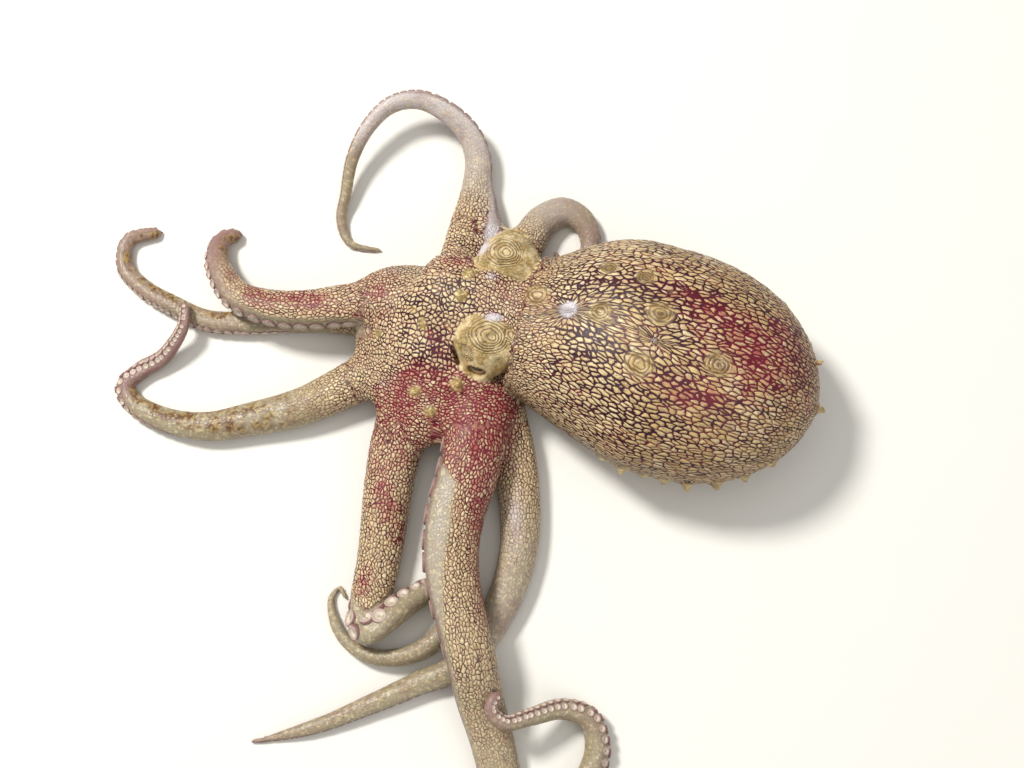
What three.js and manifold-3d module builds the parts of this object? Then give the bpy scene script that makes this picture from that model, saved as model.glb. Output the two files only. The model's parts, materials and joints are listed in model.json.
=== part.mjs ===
/**
 * Common octopus, a young animal lying on the ground with its arms spread and curled.
 *
 * A still, life-size model in millimetres, +Z up, resting on the plane Z = 0.  The tail of the mantle
 * points towards +X and the arm crown towards -X, and the animal's right side is towards +Y.
 * The origin is the centre of the bounding box's underside.  Every fleshy body is a loft of oval
 * sections along a smooth route, pressed flat where it lies on the ground, and the bodies are parted
 * by thin cuts.
 */
import * as THREE from "three";
import { mergeVertices } from "three/addons/utils/BufferGeometryUtils.js";
import Module from "manifold-3d";

// ---- Sizes, in millimetres -------------------------------------------------------------------

/** Width of the cut that parts two neighbouring bodies. */
const CUT = 0.3;

/** Mantle: the sac behind the head, from the neck back to the blunt tail. */
const MANTLE = {
  neck: [12.0, 28.7],
  heading: -16.8,
  length: 59.0,
  widestAt: 27.0,
  halfWidth: 22.8,
  neckHalfWidth: 13.9,
  halfHeight: 16.6,
  neckHalfHeight: 9.6,
  crestZ: 15.6,
  neckZ: 12.6,
  tailZ: 13.2,
  sway: 1.2,
};

/** Head: the low barrel between the neck and the arm crown, with a bulge round each eye. */
const HEAD = {
  back: [13.5, 28.6],
  front: [-4.5, 35.2],
  halfWidthBack: 13.0,
  halfWidthFront: 9.0,
  halfHeight: 7.4,
  z: 14.2,
  bulgeRadius: 6.3,
  bulges: { left: [3.3, 24.3, 16.4], right: [7.2, 40.8, 16.4] },
};

/** Eyeball, seated in the outer and forward face of its bulge. */
const EYE = { radius: 3.6, outward: 3.0, forward: 0.3, drop: 1.0 };

/** Crown: the web-joined ring of arm roots round the mouth. */
const CROWN = { centre: [-6.8, 27.6, 6.6], halfX: 13.0, halfY: 13.5, halfZ: 10.4, under: 1.6 };

/** Webs: pads of skin that fill the corners between neighbouring arm roots, [x, y, z, half x, half y, half z]. */
const WEBS = {
  right_2_to_3: [-14.5, 37.5, 7.6, 9.0, 6.0, 4.6],
  right_3_to_4: [4.2, 46.0, 4.4, 5.0, 6.0, 3.4],
  right_2_to_left_1: [-17.5, 28.0, 6.0, 6.5, 6.0, 4.6],
  left_1_to_2: [-14.5, 18.5, 6.4, 6.0, 6.5, 5.0],
  left_2_to_3: [-8.5, 14.0, 8.0, 6.0, 9.0, 5.4],
  left_3_to_4: [5.2, 16.5, 7.0, 4.6, 7.5, 4.6],
};

/** Siphon: the funnel that lies under the left side of the head. */
const SIPHON = {
  route: [[13.0, 26.5, 0.9], [7.5, 26.0, 0.4], [2.5, 24.5, 0.0], [-0.8, 22.4, 0.0]],
  rootRadius: 4.0,
  mouthRadius: 2.1,
};

/** Section of an arm: half height for a half width of one, and how deep it is pressed on the ground. */
const ARM_HEIGHT = 0.84;
const ARM_PRESS = 0.1;

/** Corners of an arm's section. */
const ARM_SIDES = 10;

/** Distance between an arm's sections. */
const RING_STEP = 4.8;

/** How strongly an arm's section turns back to level with every step along it. */
const LEVELLING = 0.12;

/** Flare of an arm's root into the web: extra half width, and the length over which it fades. */
const ROOT_FLARE = { extra: 1.6, fade: 9.0 };

/**
 * Arms, counted from the front (1) to the back (4) on each side.
 * route: way-points from the mouth to the tip, [x, y, height of the underside above the ground].
 * root, tip: half widths; taper: power of the taper; cuts: fractions of the length where it is parted,
 * the first of them being the edge of the crown.
 */
const ARMS = {
  arm_right_1: {
    root: 3.4, tip: 1.2, taper: 0.6, cuts: [0.27, 0.5, 0.74],
    route: [[-9, 29.5, 2.6], [-17.5, 32, 0.6], [-28, 32.5, 0], [-38.5, 32.5, 0], [-48, 32, 0],
      [-56, 32.5, 0], [-63.5, 36, 0], [-69.5, 39.5, 0], [-74, 44.5, 0], [-73.5, 50.5, 0], [-67, 52.5, 0]],
  },
  arm_right_2: {
    root: 5.4, tip: 1.2, taper: 0.5, cuts: [0.34, 0.68],
    route: [[-6.5, 31, 4.6], [-15, 34.3, 5.2], [-24, 34, 5.4], [-33.5, 33, 5.4], [-41.5, 33.5, 5.3],
      [-48.5, 36, 4.8], [-52.5, 41, 3], [-54.5, 46, 1.2], [-53.5, 50.5, 0.2], [-50, 52, 0]],
  },
  arm_right_3: {
    root: 4.6, tip: 1.0, taper: 1.4, cuts: [0.2, 0.4, 0.6, 0.84],
    route: [[-4.5, 35.5, 3.6], [-3, 44, 3], [-1.5, 52, 1.2], [0.5, 61, 0.2], [1, 67.5, 1.2],
      [-1, 73, 3.4], [-5.5, 77, 5.6], [-11.5, 79.5, 6.8], [-17.5, 78.5, 6.8], [-22.5, 74, 5.8],
      [-26, 67.5, 4], [-27.5, 60.5, 1.8], [-28.5, 55, 0.4], [-26.5, 50, 0], [-20.5, 48.5, 0]],
  },
  arm_right_4: {
    root: 5.2, tip: 1.0, taper: 0.85, cuts: [0.3, 0.62],
    route: [[0, 33.5, 0.6], [5.2, 39, 0.2], [9, 45, 0], [11.6, 50, 0], [14.6, 54.4, 0], [19, 56.6, 0],
      [23.2, 54.4, 0], [24.8, 49.5, 0], [22.6, 45, 0], [18.6, 44.2, 0], [17.4, 47.6, 0]],
  },
  arm_left_1: {
    root: 5.2, tip: 1.2, taper: 1.0, cuts: [0.26, 0.56, 0.8],
    route: [[-10, 26, 4], [-18, 22.5, 2.2], [-26.5, 18, 0.8], [-35.5, 14, 0.2], [-46, 11.5, 0],
      [-55, 10, 0], [-64, 11.5, 0], [-71, 15.5, 0], [-72.5, 19, 0], [-69.5, 22, 0.1], [-65, 24.5, 1],
      [-62, 27.5, 2.9], [-60, 31, 4.5], [-60, 35.5, 4.7]],
  },
  arm_left_2: {
    root: 6.0, tip: 0.7, taper: 0.85, cuts: [0.185, 0.45, 0.6, 0.73, 0.91],
    route: [[-8.5, 23.5, 5], [-13, 13.5, 3], [-16, 3.5, 1], [-17.5, -6.5, 0.4], [-18.8, -17.5, 0.2],
      [-20.6, -25.5, 0.1], [-21.8, -29.6, 1.4], [-20.2, -31, 3.6], [-16.8, -28.8, 3.2],
      [-12.5, -25.4, 1.2], [-8, -23.2, 0.1], [-5, -25.2, 0], [-4.9, -29.6, 0], [-8, -33.8, 0.5],
      [-13.5, -36.4, 1.1], [-20.5, -36.3, 0.7], [-25.5, -33, 0.2], [-28, -28.5, 0],
      [-28.4, -24.6, 0], [-26.8, -22.8, 0], [-25.8, -24.4, 0]],
  },
  arm_left_3: {
    root: 7.6, tip: 1.2, taper: 0.9, cuts: [0.165, 0.3, 0.47, 0.62, 0.77, 0.9],
    route: [[-4.5, 24, 4], [0.5, 12, 4.4], [-1, 1, 4.7], [-4, -10, 5.1], [-4.5, -19, 5.6],
      [-3, -27.5, 5.9], [-0.5, -36.5, 5.8], [1.5, -45, 2.2], [3.5, -51.5, 0.3], [5.5, -59, 0],
      [8.5, -66.5, 0], [14.5, -71, 0], [20, -68, 0], [23, -61, 0], [25, -54.5, 0.5],
      [23.5, -48.5, 1.4], [18, -46.5, 3.4], [11.5, -48, 6.8], [6.5, -49, 9.0], [4, -46.5, 9.8],
      [5.5, -43.5, 9.8]],
  },
  arm_left_4: {
    root: 5.4, tip: 0.8, taper: 0.8, cuts: [0.2, 0.45, 0.7],
    route: [[-3.5, 27.5, 2], [4.5, 15, 1.2], [8, 5, 0.4], [9.5, -5.5, 0], [9.5, -13.5, 0],
      [8, -21, 0], [5.0, -28.2, 0], [0.8, -34.8, 0], [-4.6, -39.6, 0], [-10, -41.6, 0],
      [-15, -43.8, 0], [-21.5, -46.5, 0], [-29, -49.5, 0], [-36, -51.5, 0], [-43, -53, 0]],
  },
};

/** Lengths that lie on another one and are hollowed to fit it, [upper, lower]. */
const LIES_ON = [
  ["arm_left_2_middle", "arm_left_2_base"],
];

/** Names of the lengths an arm is parted into, by how many there are. */
const LENGTHS = {
  2: ["base", "tip"],
  3: ["base", "middle", "tip"],
  4: ["base", "middle", "outer", "tip"],
  5: ["base", "middle", "fold", "outer", "tip"],
  6: ["base", "middle", "lower", "turn", "outer", "tip"],
};

/** Finishes. */
const FLESH = { color: 0xc9b48a, roughness: 0.5, metalness: 0 };
const FLESH_DARK = { color: 0x8a4a48, roughness: 0.5, metalness: 0 };
const FLESH_PALE = { color: 0xb5a490, roughness: 0.45, metalness: 0 };
const EYE_GLOSS = { color: 0xb08a3c, roughness: 0.15, metalness: 0 };

// ---- Solids ----------------------------------------------------------------------------------

const wasm = await Module();
wasm.setup();

/** A closed geometry as a solid that can be joined and cut. */
function solidOf(geometry) {
  const bare = geometry.index ? geometry.clone() : geometry;
  bare.deleteAttribute("normal");
  bare.deleteAttribute("uv");
  const merged = mergeVertices(bare, 1e-4);
  return new wasm.Manifold(new wasm.Mesh({
    numProp: 3,
    vertProperties: new Float32Array(merged.attributes.position.array),
    triVerts: new Uint32Array(merged.index.array),
  }));
}

/** The geometry of a solid. */
function geometryOf(solid) {
  const mesh = solid.getMesh();
  const geometry = new THREE.BufferGeometry();
  geometry.setAttribute("position", new THREE.BufferAttribute(new Float32Array(mesh.vertProperties), 3));
  geometry.setIndex(new THREE.BufferAttribute(new Uint32Array(mesh.triVerts), 1));
  return geometry;
}

/** A closed skin over a row of rings, each a list of points, with a fan over each end. */
function skinOver(rings) {
  const sides = rings[0].length;
  const points = rings.flat();
  const index = [];
  for (let k = 0; k + 1 < rings.length; k += 1) {
    for (let i = 0; i < sides; i += 1) {
      const a = k * sides + i;
      const b = k * sides + ((i + 1) % sides);
      index.push(a, b + sides, b, a, a + sides, b + sides);
    }
  }
  for (const [k, first, second] of [[0, 0, 1], [rings.length - 1, 1, 0]]) {
    const hub = points.length;
    const ring = rings[k];
    points.push(ring.reduce((sum, p) => sum.add(p), new THREE.Vector3()).divideScalar(sides));
    for (let i = 0; i < sides; i += 1) {
      index.push(hub, k * sides + ((i + first) % sides), k * sides + ((i + second) % sides));
    }
  }
  const geometry = new THREE.BufferGeometry();
  geometry.setAttribute("position", new THREE.Float32BufferAttribute(points.flatMap((p) => p.toArray()), 3));
  geometry.setIndex(index);
  return geometry;
}

/** The level direction across a heading, to its right. */
function levelSide(along) {
  return new THREE.Vector3().crossVectors(along, new THREE.Vector3(0, 0, 1)).normalize();
}

/** One oval ring of points round a centre, across a direction, and never below the ground. */
function ovalRing(centre, along, side, halfWidth, halfHeight, sides) {
  const up = new THREE.Vector3().crossVectors(side, along).normalize();
  return Array.from({ length: sides }, (_, i) => {
    const angle = (2 * Math.PI * (i + 0.5)) / sides;
    const point = centre.clone()
      .addScaledVector(side, halfWidth * Math.cos(angle))
      .addScaledVector(up, halfHeight * Math.sin(angle));
    point.z = Math.max(point.z, 0);
    return point;
  });
}

// ---- Arms ------------------------------------------------------------------------------------

/** Half width of an arm at a fraction of its length. */
function armHalfWidth(arm, length, t) {
  const taper = arm.tip + (arm.root - arm.tip) * Math.pow(1 - t, arm.taper);
  const flare = ROOT_FLARE.extra * Math.exp(-(t * length) / ROOT_FLARE.fade);
  const fromTip = (1 - t) * length;
  const round = fromTip < arm.tip ? Math.sqrt(1 - (1 - fromTip / arm.tip) ** 2) : 1;
  return (taper + flare) * Math.max(round, 0.3);
}

/** The centre line of an arm, along the ground. */
function armCurve(arm) {
  const points = arm.route.map((p) => new THREE.Vector3(...p));
  const curve = new THREE.CatmullRomCurve3(points, false, "centripetal");
  curve.arcLengthDivisions = 400;
  return curve;
}

/** The sideways direction at a fraction of an arm's length, carried along it from the root without twisting. */
function armSides(curve) {
  const steps = 160;
  const tangents = Array.from({ length: steps + 1 }, (_, k) => curve.getTangentAt(k / steps));
  const sides = [levelSide(tangents[0])];
  for (let k = 1; k <= steps; k += 1) {
    const turn = new THREE.Quaternion().setFromUnitVectors(tangents[k - 1], tangents[k]);
    const side = sides[k - 1].clone().applyQuaternion(turn);
    const level = levelSide(tangents[k]);
    if (level.dot(side) < 0) {
      level.negate();
    }
    const weight = LEVELLING * (1 - Math.abs(tangents[k].z));
    side.lerp(level, weight).projectOnPlane(tangents[k]).normalize();
    sides.push(side);
  }
  return (t) => {
    const k = Math.min(Math.floor(t * steps), steps - 1);
    return sides[k].clone().lerp(sides[k + 1], t * steps - k).normalize();
  };
}

/** A stretch of an arm between two fractions of its length, optionally thickened by some clearance. */
function armStretch(arm, from, to, clearance = 0) {
  const curve = armCurve(arm);
  const sideAt = armSides(curve);
  const length = curve.getLength();
  const step = to === 1 ? RING_STEP * 0.55 : RING_STEP;
  const steps = Math.max(2, Math.round(((to - from) * length) / step));
  const stops = Array.from({ length: steps + 1 }, (_, k) => from + ((to - from) * k) / steps);
  if (to === 1) {
    stops.splice(-1, 0, 1 - (0.35 * arm.tip) / length);
  }
  const rings = stops.map((t) => {
    const halfWidth = armHalfWidth(arm, length, t);
    const halfHeight = halfWidth * ARM_HEIGHT;
    const centre = curve.getPointAt(t);
    centre.z = Math.max(centre.z, 0) + halfHeight * (1 - ARM_PRESS);
    const along = curve.getTangentAt(t);
    return ovalRing(centre, along, sideAt(t), halfWidth + clearance, halfHeight + clearance, ARM_SIDES);
  });
  return skinOver(rings);
}

/** The lengths of an arm outside the crown: each one's name and solid, and a solid with clearance round it. */
function armLengths(name, arm) {
  const half = CUT / 2 / armCurve(arm).getLength();
  const names = LENGTHS[arm.cuts.length];
  return arm.cuts.map((cut, k) => {
    const from = cut + half;
    const to = k + 1 < arm.cuts.length ? arm.cuts[k + 1] - half : 1;
    return {
      name: `${name}_${names[k]}`,
      solid: solidOf(armStretch(arm, from, to)),
      clear: solidOf(armStretch(arm, from, Math.min(to + 2 * half, 1), CUT)),
    };
  });
}

// ---- Body ------------------------------------------------------------------------------------

/** Half width of the mantle at a distance behind the neck. */
function mantleHalfWidth(s) {
  const { widestAt, halfWidth, neckHalfWidth, length } = MANTLE;
  if (s < widestAt) {
    return halfWidth - (halfWidth - neckHalfWidth) * (1 - s / widestAt) ** 2;
  }
  const u = Math.min((s - widestAt) / (length - widestAt), 1);
  return halfWidth * Math.pow(1 - Math.pow(u, 2.3), 0.55);
}

/** Half height of the mantle at a distance behind the neck. */
function mantleHalfHeight(s) {
  const { widestAt, halfHeight, neckHalfHeight, length } = MANTLE;
  if (s < widestAt) {
    return halfHeight - (halfHeight - neckHalfHeight) * (1 - s / widestAt) ** 2;
  }
  const u = Math.min((s - widestAt) / (length - widestAt), 1);
  return halfHeight * Math.pow(1 - Math.pow(u, 2.4), 0.55);
}

/** The mantle's centre line: rises from the neck to the crest and sinks a little to the tail. */
function mantleCentre(s) {
  const heading = THREE.MathUtils.degToRad(MANTLE.heading);
  const along = new THREE.Vector3(Math.cos(heading), Math.sin(heading), 0);
  const across = new THREE.Vector3(-Math.sin(heading), Math.cos(heading), 0);
  const rise = s < MANTLE.widestAt
    ? MANTLE.neckZ + (MANTLE.crestZ - MANTLE.neckZ) * Math.sin((Math.PI / 2) * (s / MANTLE.widestAt))
    : MANTLE.crestZ + ((MANTLE.tailZ - MANTLE.crestZ) * (s - MANTLE.widestAt)) / (MANTLE.length - MANTLE.widestAt);
  const sway = MANTLE.sway * Math.sin(Math.PI * Math.min(s / 24, 1));
  return new THREE.Vector3(MANTLE.neck[0], MANTLE.neck[1], rise)
    .addScaledVector(along, s)
    .addScaledVector(across, sway);
}

/** The mantle from a distance behind the neck back to the tail. */
function mantleSkin(from, clearance = 0) {
  const stations = 15;
  const span = MANTLE.length - 0.15 - from;
  const heading = THREE.MathUtils.degToRad(MANTLE.heading);
  const along = new THREE.Vector3(Math.cos(heading), Math.sin(heading), 0);
  const rings = Array.from({ length: stations + 1 }, (_, k) => {
    const s = from + span * Math.sin((Math.PI / 2) * (k / stations));
    const halfWidth = mantleHalfWidth(s) + clearance;
    return ovalRing(mantleCentre(s), along, levelSide(along), halfWidth, mantleHalfHeight(s) + clearance, 26);
  });
  return solidOf(skinOver(rings));
}

/** A ball, or an oval one, of a given fineness. */
function ball(centre, radii, around = 16, down = 10) {
  const geometry = new THREE.SphereGeometry(1, around, down);
  geometry.scale(...radii);
  geometry.rotateX(Math.PI / 2);
  geometry.translate(...centre);
  return geometry;
}

/** The barrel of the head with its two eye bulges, optionally thickened by some clearance. */
function headSkin(clearance = 0) {
  const back = new THREE.Vector3(...HEAD.back, HEAD.z);
  const front = new THREE.Vector3(...HEAD.front, HEAD.z - 1.2);
  const along = front.clone().sub(back).normalize();
  const stations = 7;
  const rings = Array.from({ length: stations + 1 }, (_, k) => {
    const t = k / stations;
    const wide = THREE.MathUtils.lerp(HEAD.halfWidthBack, HEAD.halfWidthFront, t);
    const end = t > 0.7 ? Math.sqrt(1 - ((t - 0.7) / 0.36) ** 2) : 1;
    const centre = back.clone().lerp(front, t);
    const halfHeight = HEAD.halfHeight * end + clearance;
    return ovalRing(centre, along, levelSide(along), wide * end + clearance, halfHeight, 16);
  });
  let head = solidOf(skinOver(rings));
  for (const centre of Object.values(HEAD.bulges)) {
    const r = HEAD.bulgeRadius + clearance;
    head = head.add(solidOf(ball(centre, [r, r, r], 14, 9)));
  }
  return head;
}

/** Centre of an eyeball: out from its bulge, a little forward and down. */
function eyeCentre(side) {
  const bulge = new THREE.Vector3(...HEAD.bulges[side]);
  const heading = new THREE.Vector3(...HEAD.front, 0).sub(new THREE.Vector3(...HEAD.back, 0)).normalize();
  const right = new THREE.Vector3(heading.y, -heading.x, 0).multiplyScalar(side === "right" ? 1 : -1);
  return bulge
    .addScaledVector(right, EYE.outward)
    .addScaledVector(heading, EYE.forward)
    .add(new THREE.Vector3(0, 0, -EYE.drop));
}

/** The siphon: a short tapered tube, open for a little way at its mouth. */
function siphonSkin(clearance = 0) {
  const curve = new THREE.CatmullRomCurve3(SIPHON.route.map((p) => new THREE.Vector3(...p)));
  const rings = Array.from({ length: 7 }, (_, k) => {
    const t = k / 6;
    const radius = THREE.MathUtils.lerp(SIPHON.rootRadius, SIPHON.mouthRadius, t ** 0.8) + clearance;
    const centre = curve.getPointAt(t);
    centre.z = Math.max(centre.z, 0) + radius * 0.82 - clearance;
    return ovalRing(centre, curve.getTangentAt(t), levelSide(curve.getTangentAt(t)), radius, radius * 0.9, 12);
  });
  return solidOf(skinOver(rings));
}

/** The crown: a low dome over the mouth joined with the root of every arm, clear of the free arms. */
function crownSkin() {
  const dome = ball(CROWN.centre, [CROWN.halfX, CROWN.halfZ, CROWN.halfY], 18, 10);
  const position = dome.attributes.position;
  for (let i = 0; i < position.count; i += 1) {
    position.setZ(i, Math.max(position.getZ(i), CROWN.under));
  }
  let crown = solidOf(dome);
  for (const [x, y, z, halfX, halfY, halfZ] of Object.values(WEBS)) {
    crown = crown.add(solidOf(ball([x, y, z], [halfX, halfZ, halfY], 10, 7)));
  }
  for (const arm of Object.values(ARMS)) {
    crown = crown.add(solidOf(armStretch(arm, 0, arm.cuts[0])));
  }
  for (const arm of Object.values(ARMS)) {
    const start = arm.cuts[0] - CUT / 2 / armCurve(arm).getLength();
    crown = crown.subtract(solidOf(armStretch(arm, start, arm.cuts[1], CUT)));
  }
  return crown;
}

// ---- Assembly --------------------------------------------------------------------------------

const octopus = new THREE.Group();

/** Puts a named mesh with its own finish into the model. */
function place(name, geometry, finish) {
  const mesh = new THREE.Mesh(geometry, new THREE.MeshStandardMaterial(finish));
  mesh.name = name;
  octopus.add(mesh);
}

const mantleClear = mantleSkin(0.3, CUT);
const siphonClear = siphonSkin(CUT);
const headClear = headSkin(CUT);
let head = headSkin().subtract(mantleClear).subtract(siphonClear);
let crown = crownSkin().subtract(headClear).subtract(mantleClear).subtract(siphonClear);
for (const side of ["left", "right"]) {
  const centre = eyeCentre(side).toArray();
  const socket = solidOf(ball(centre, Array(3).fill(EYE.radius + CUT)));
  head = head.subtract(socket);
  crown = crown.subtract(socket);
  place(`eye_${side}`, ball(centre, Array(3).fill(EYE.radius)), EYE_GLOSS);
}

place("mantle", geometryOf(mantleSkin(0.6)), FLESH);
place("head", geometryOf(head), FLESH);
place("siphon", geometryOf(siphonSkin().subtract(mantleClear)), FLESH_PALE);
place("arm_crown", geometryOf(crown), FLESH_DARK);
const lengths = new Map();
for (const [name, arm] of Object.entries(ARMS)) {
  for (const part of armLengths(name, arm)) {
    lengths.set(part.name, part);
  }
}
for (const [upper, lower] of LIES_ON) {
  const part = lengths.get(upper);
  part.solid = part.solid.subtract(lengths.get(lower).clear);
}
for (const part of lengths.values()) {
  place(part.name, geometryOf(part.solid), part.name.endsWith("_base") ? FLESH : FLESH_PALE);
}

// The origin goes to the centre of the underside.
const box = new THREE.Box3().setFromObject(octopus, true);
octopus.position.set(-(box.min.x + box.max.x) / 2, -(box.min.y + box.max.y) / 2, -box.min.z);

export default octopus;
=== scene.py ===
"""A small octopus at rest on the ground: one skin over the fitted body, its suckers and its eyes.

Sizes are in millimetres in the maker's own frame, in which the mouth lies near the middle, the
mantle points along +X and the ground is z = 0. `Place` carries them to the fitted frame.
"""

from __future__ import annotations

import json
import logging
import math
from dataclasses import dataclass, field
from enum import Enum
from typing import Callable, Iterable, NamedTuple, Sequence

import bpy
import numpy as np
import openvdb
from mathutils import Matrix, Vector

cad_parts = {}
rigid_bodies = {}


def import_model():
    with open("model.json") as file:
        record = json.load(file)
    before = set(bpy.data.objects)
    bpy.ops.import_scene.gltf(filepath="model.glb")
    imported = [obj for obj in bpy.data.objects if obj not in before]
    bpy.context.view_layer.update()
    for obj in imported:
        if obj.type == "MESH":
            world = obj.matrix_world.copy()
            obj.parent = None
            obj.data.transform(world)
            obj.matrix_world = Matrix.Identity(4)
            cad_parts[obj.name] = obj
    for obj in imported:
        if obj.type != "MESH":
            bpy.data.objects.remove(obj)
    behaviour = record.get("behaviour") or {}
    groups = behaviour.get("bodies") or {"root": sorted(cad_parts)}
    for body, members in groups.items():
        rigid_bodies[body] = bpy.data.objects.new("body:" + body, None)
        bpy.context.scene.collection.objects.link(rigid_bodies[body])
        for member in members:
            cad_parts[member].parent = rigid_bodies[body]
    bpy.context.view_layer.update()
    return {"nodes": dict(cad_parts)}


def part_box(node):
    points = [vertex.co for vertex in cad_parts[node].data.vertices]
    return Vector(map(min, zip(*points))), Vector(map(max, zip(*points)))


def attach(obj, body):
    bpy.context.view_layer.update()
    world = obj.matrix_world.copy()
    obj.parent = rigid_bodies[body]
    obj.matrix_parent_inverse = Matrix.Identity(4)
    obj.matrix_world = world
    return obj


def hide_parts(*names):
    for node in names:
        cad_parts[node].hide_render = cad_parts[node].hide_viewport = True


log = logging.getLogger("octopus")

Array = np.ndarray
Point = tuple[float, float, float]
Colour = tuple[float, float, float]
Pair = tuple[float, float]

MM = 0.001
# Least numbers that may be divided by.
TINY = 1e-6
TINIEST = 1e-9
LEAST_SOLID = 0.05
BODY = "root"


# ---- Numbers ---------------------------------------------------------------------------------


def smooth_step(value: Array, low: float, high: float) -> Array:
    """A soft step from 0 at low to 1 at high; low may be above high for a falling step."""
    t = np.clip((value - low) / (high - low), 0.0, 1.0)
    return t * t * (3.0 - 2.0 * t)


def soft_least(a: Array, b: Array, reach: Array | float) -> Array:
    """The lesser of two fields, rounded where they are nearer than reach to each other."""
    h = np.maximum(reach - np.abs(a - b), 0.0) / np.maximum(reach, TINY)
    return np.minimum(a, b) - h * h * reach * 0.25


def soft_most(a: Array, b: Array, reach: Array | float) -> Array:
    """The greater of two fields, rounded where they are nearer than reach to each other."""
    return -soft_least(-a, -b, reach)


def unit(v: Array) -> Array:
    """A vector, or a row of them, at length 1."""
    return v / np.maximum(np.linalg.norm(v, axis=-1, keepdims=True), TINIEST)


DISPLAY_WHITE = 255.0
FOOT_END, FOOT_SLOPE = 0.04045, 12.92
CURVE_OFFSET, CURVE_POWER = 0.055, 2.4


def srgb(red: int, green: int, blue: int) -> Colour:
    """A colour given in display values, as the linear values a shader takes."""

    def linear(value: float) -> float:
        """One channel, through the display curve's straight foot or its power."""
        if value <= FOOT_END:
            return value / FOOT_SLOPE
        return ((value + CURVE_OFFSET) / (1 + CURVE_OFFSET)) ** CURVE_POWER

    return tuple(linear(channel / DISPLAY_WHITE) for channel in (red, green, blue))


class Side(Enum):
    """The animal's own left and right, which look the other way from behind it."""

    LEFT = "left"
    RIGHT = "right"


# ---- Where the body lies ---------------------------------------------------------------------


@dataclass(frozen=True)
class Mantle:
    """The bag behind the head.

    Its middle line starts at the neck and runs along the heading, with a bend to the animal's right
    by `sway` over `sway_run`, and with its height going from `neck_z` over `crest_z`, where the
    mantle is widest, to `tail_z`. `section` is the power of the oval section, 2 for an ellipse;
    `tail_power` and `fullness` say how late and how bluntly the tail closes, and the field is
    worked out up to `past_tail` of the way there. The front edge stands `lip` before the neck and
    is rounded by `collar`.
    """

    neck: Pair = (12.0, 28.7)
    heading: float = math.radians(-16.8)
    length: float = 59.0
    widest_at: float = 27.0
    half_width: float = 22.8
    neck_half_width: float = 13.9
    half_height: float = 16.6
    neck_half_height: float = 9.6
    crest_z: float = 15.6
    neck_z: float = 12.6
    tail_z: float = 13.2
    sway: float = 1.2
    sway_run: float = 24.0
    section: float = 2.1
    tail_power: float = 2.35
    fullness: float = 0.55
    past_tail: float = 1.3
    lip: float = 0.6
    collar: float = 1.4

    @property
    def along(self) -> Array:
        """The way from the neck to the tail."""
        return np.array([math.cos(self.heading), math.sin(self.heading), 0.0])

    @property
    def across(self) -> Array:
        """The level way across the mantle, to the animal's right."""
        return np.array([-math.sin(self.heading), math.cos(self.heading), 0.0])

    def frame(self, x: Array, y: Array, z: Array) -> tuple[Array, Array, Array]:
        """How far points lie behind the neck, to the right of the middle line and above it."""
        dx, dy = x - self.neck[0], y - self.neck[1]
        s = dx * self.along[0] + dy * self.along[1]
        a = dx * self.across[0] + dy * self.across[1]
        sway = self.sway * np.sin(np.pi * np.clip(s / self.sway_run, 0.0, 1.0))
        front = self.neck_z + (self.crest_z - self.neck_z) * np.sin(
            np.pi / 2 * np.clip(s / self.widest_at, 0.0, 1.0)
        )
        fall = np.clip((s - self.widest_at) / (self.length - self.widest_at), 0.0, 1.0)
        behind = self.crest_z + (self.tail_z - self.crest_z) * fall
        return s, a - sway, z - np.where(s < self.widest_at, front, behind)

    def girth(self, s: Array) -> tuple[Array, Array, Array]:
        """Half the width and height some way behind the neck, and how far the tail closes there."""
        front = (1.0 - np.clip(s, 0.0, self.widest_at) / self.widest_at) ** 2
        wide = self.half_width - (self.half_width - self.neck_half_width) * front
        high = self.half_height - (self.half_height - self.neck_half_height) * front
        behind = (s - self.widest_at) / (self.length - self.widest_at)
        return wide, high, np.clip(behind, 0.0, self.past_tail)

    def closing(self, behind: Array | float) -> Array | float:
        """What share of its width the tail has left, some share of the way to its end."""
        return np.maximum(1 - behind**self.tail_power, 0.0) ** self.fullness

    def field(self, x: Array, y: Array, z: Array) -> Array:
        """How far points lie outside the mantle."""
        s, a, b = self.frame(x, y, z)
        wide, high, u = self.girth(s)
        power = self.section
        oval = (np.abs(a / wide) ** power + np.abs(b / high) ** power) ** (1 / power)
        solid = (oval ** (1 / self.fullness) + u**self.tail_power) ** self.fullness
        rho = np.sqrt(a * a + b * b + (u * (self.length - self.widest_at)) ** 2)
        body = rho * (1.0 - 1.0 / np.maximum(solid, LEAST_SOLID))
        return soft_most(body, -(s + self.lip), self.collar)


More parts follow.
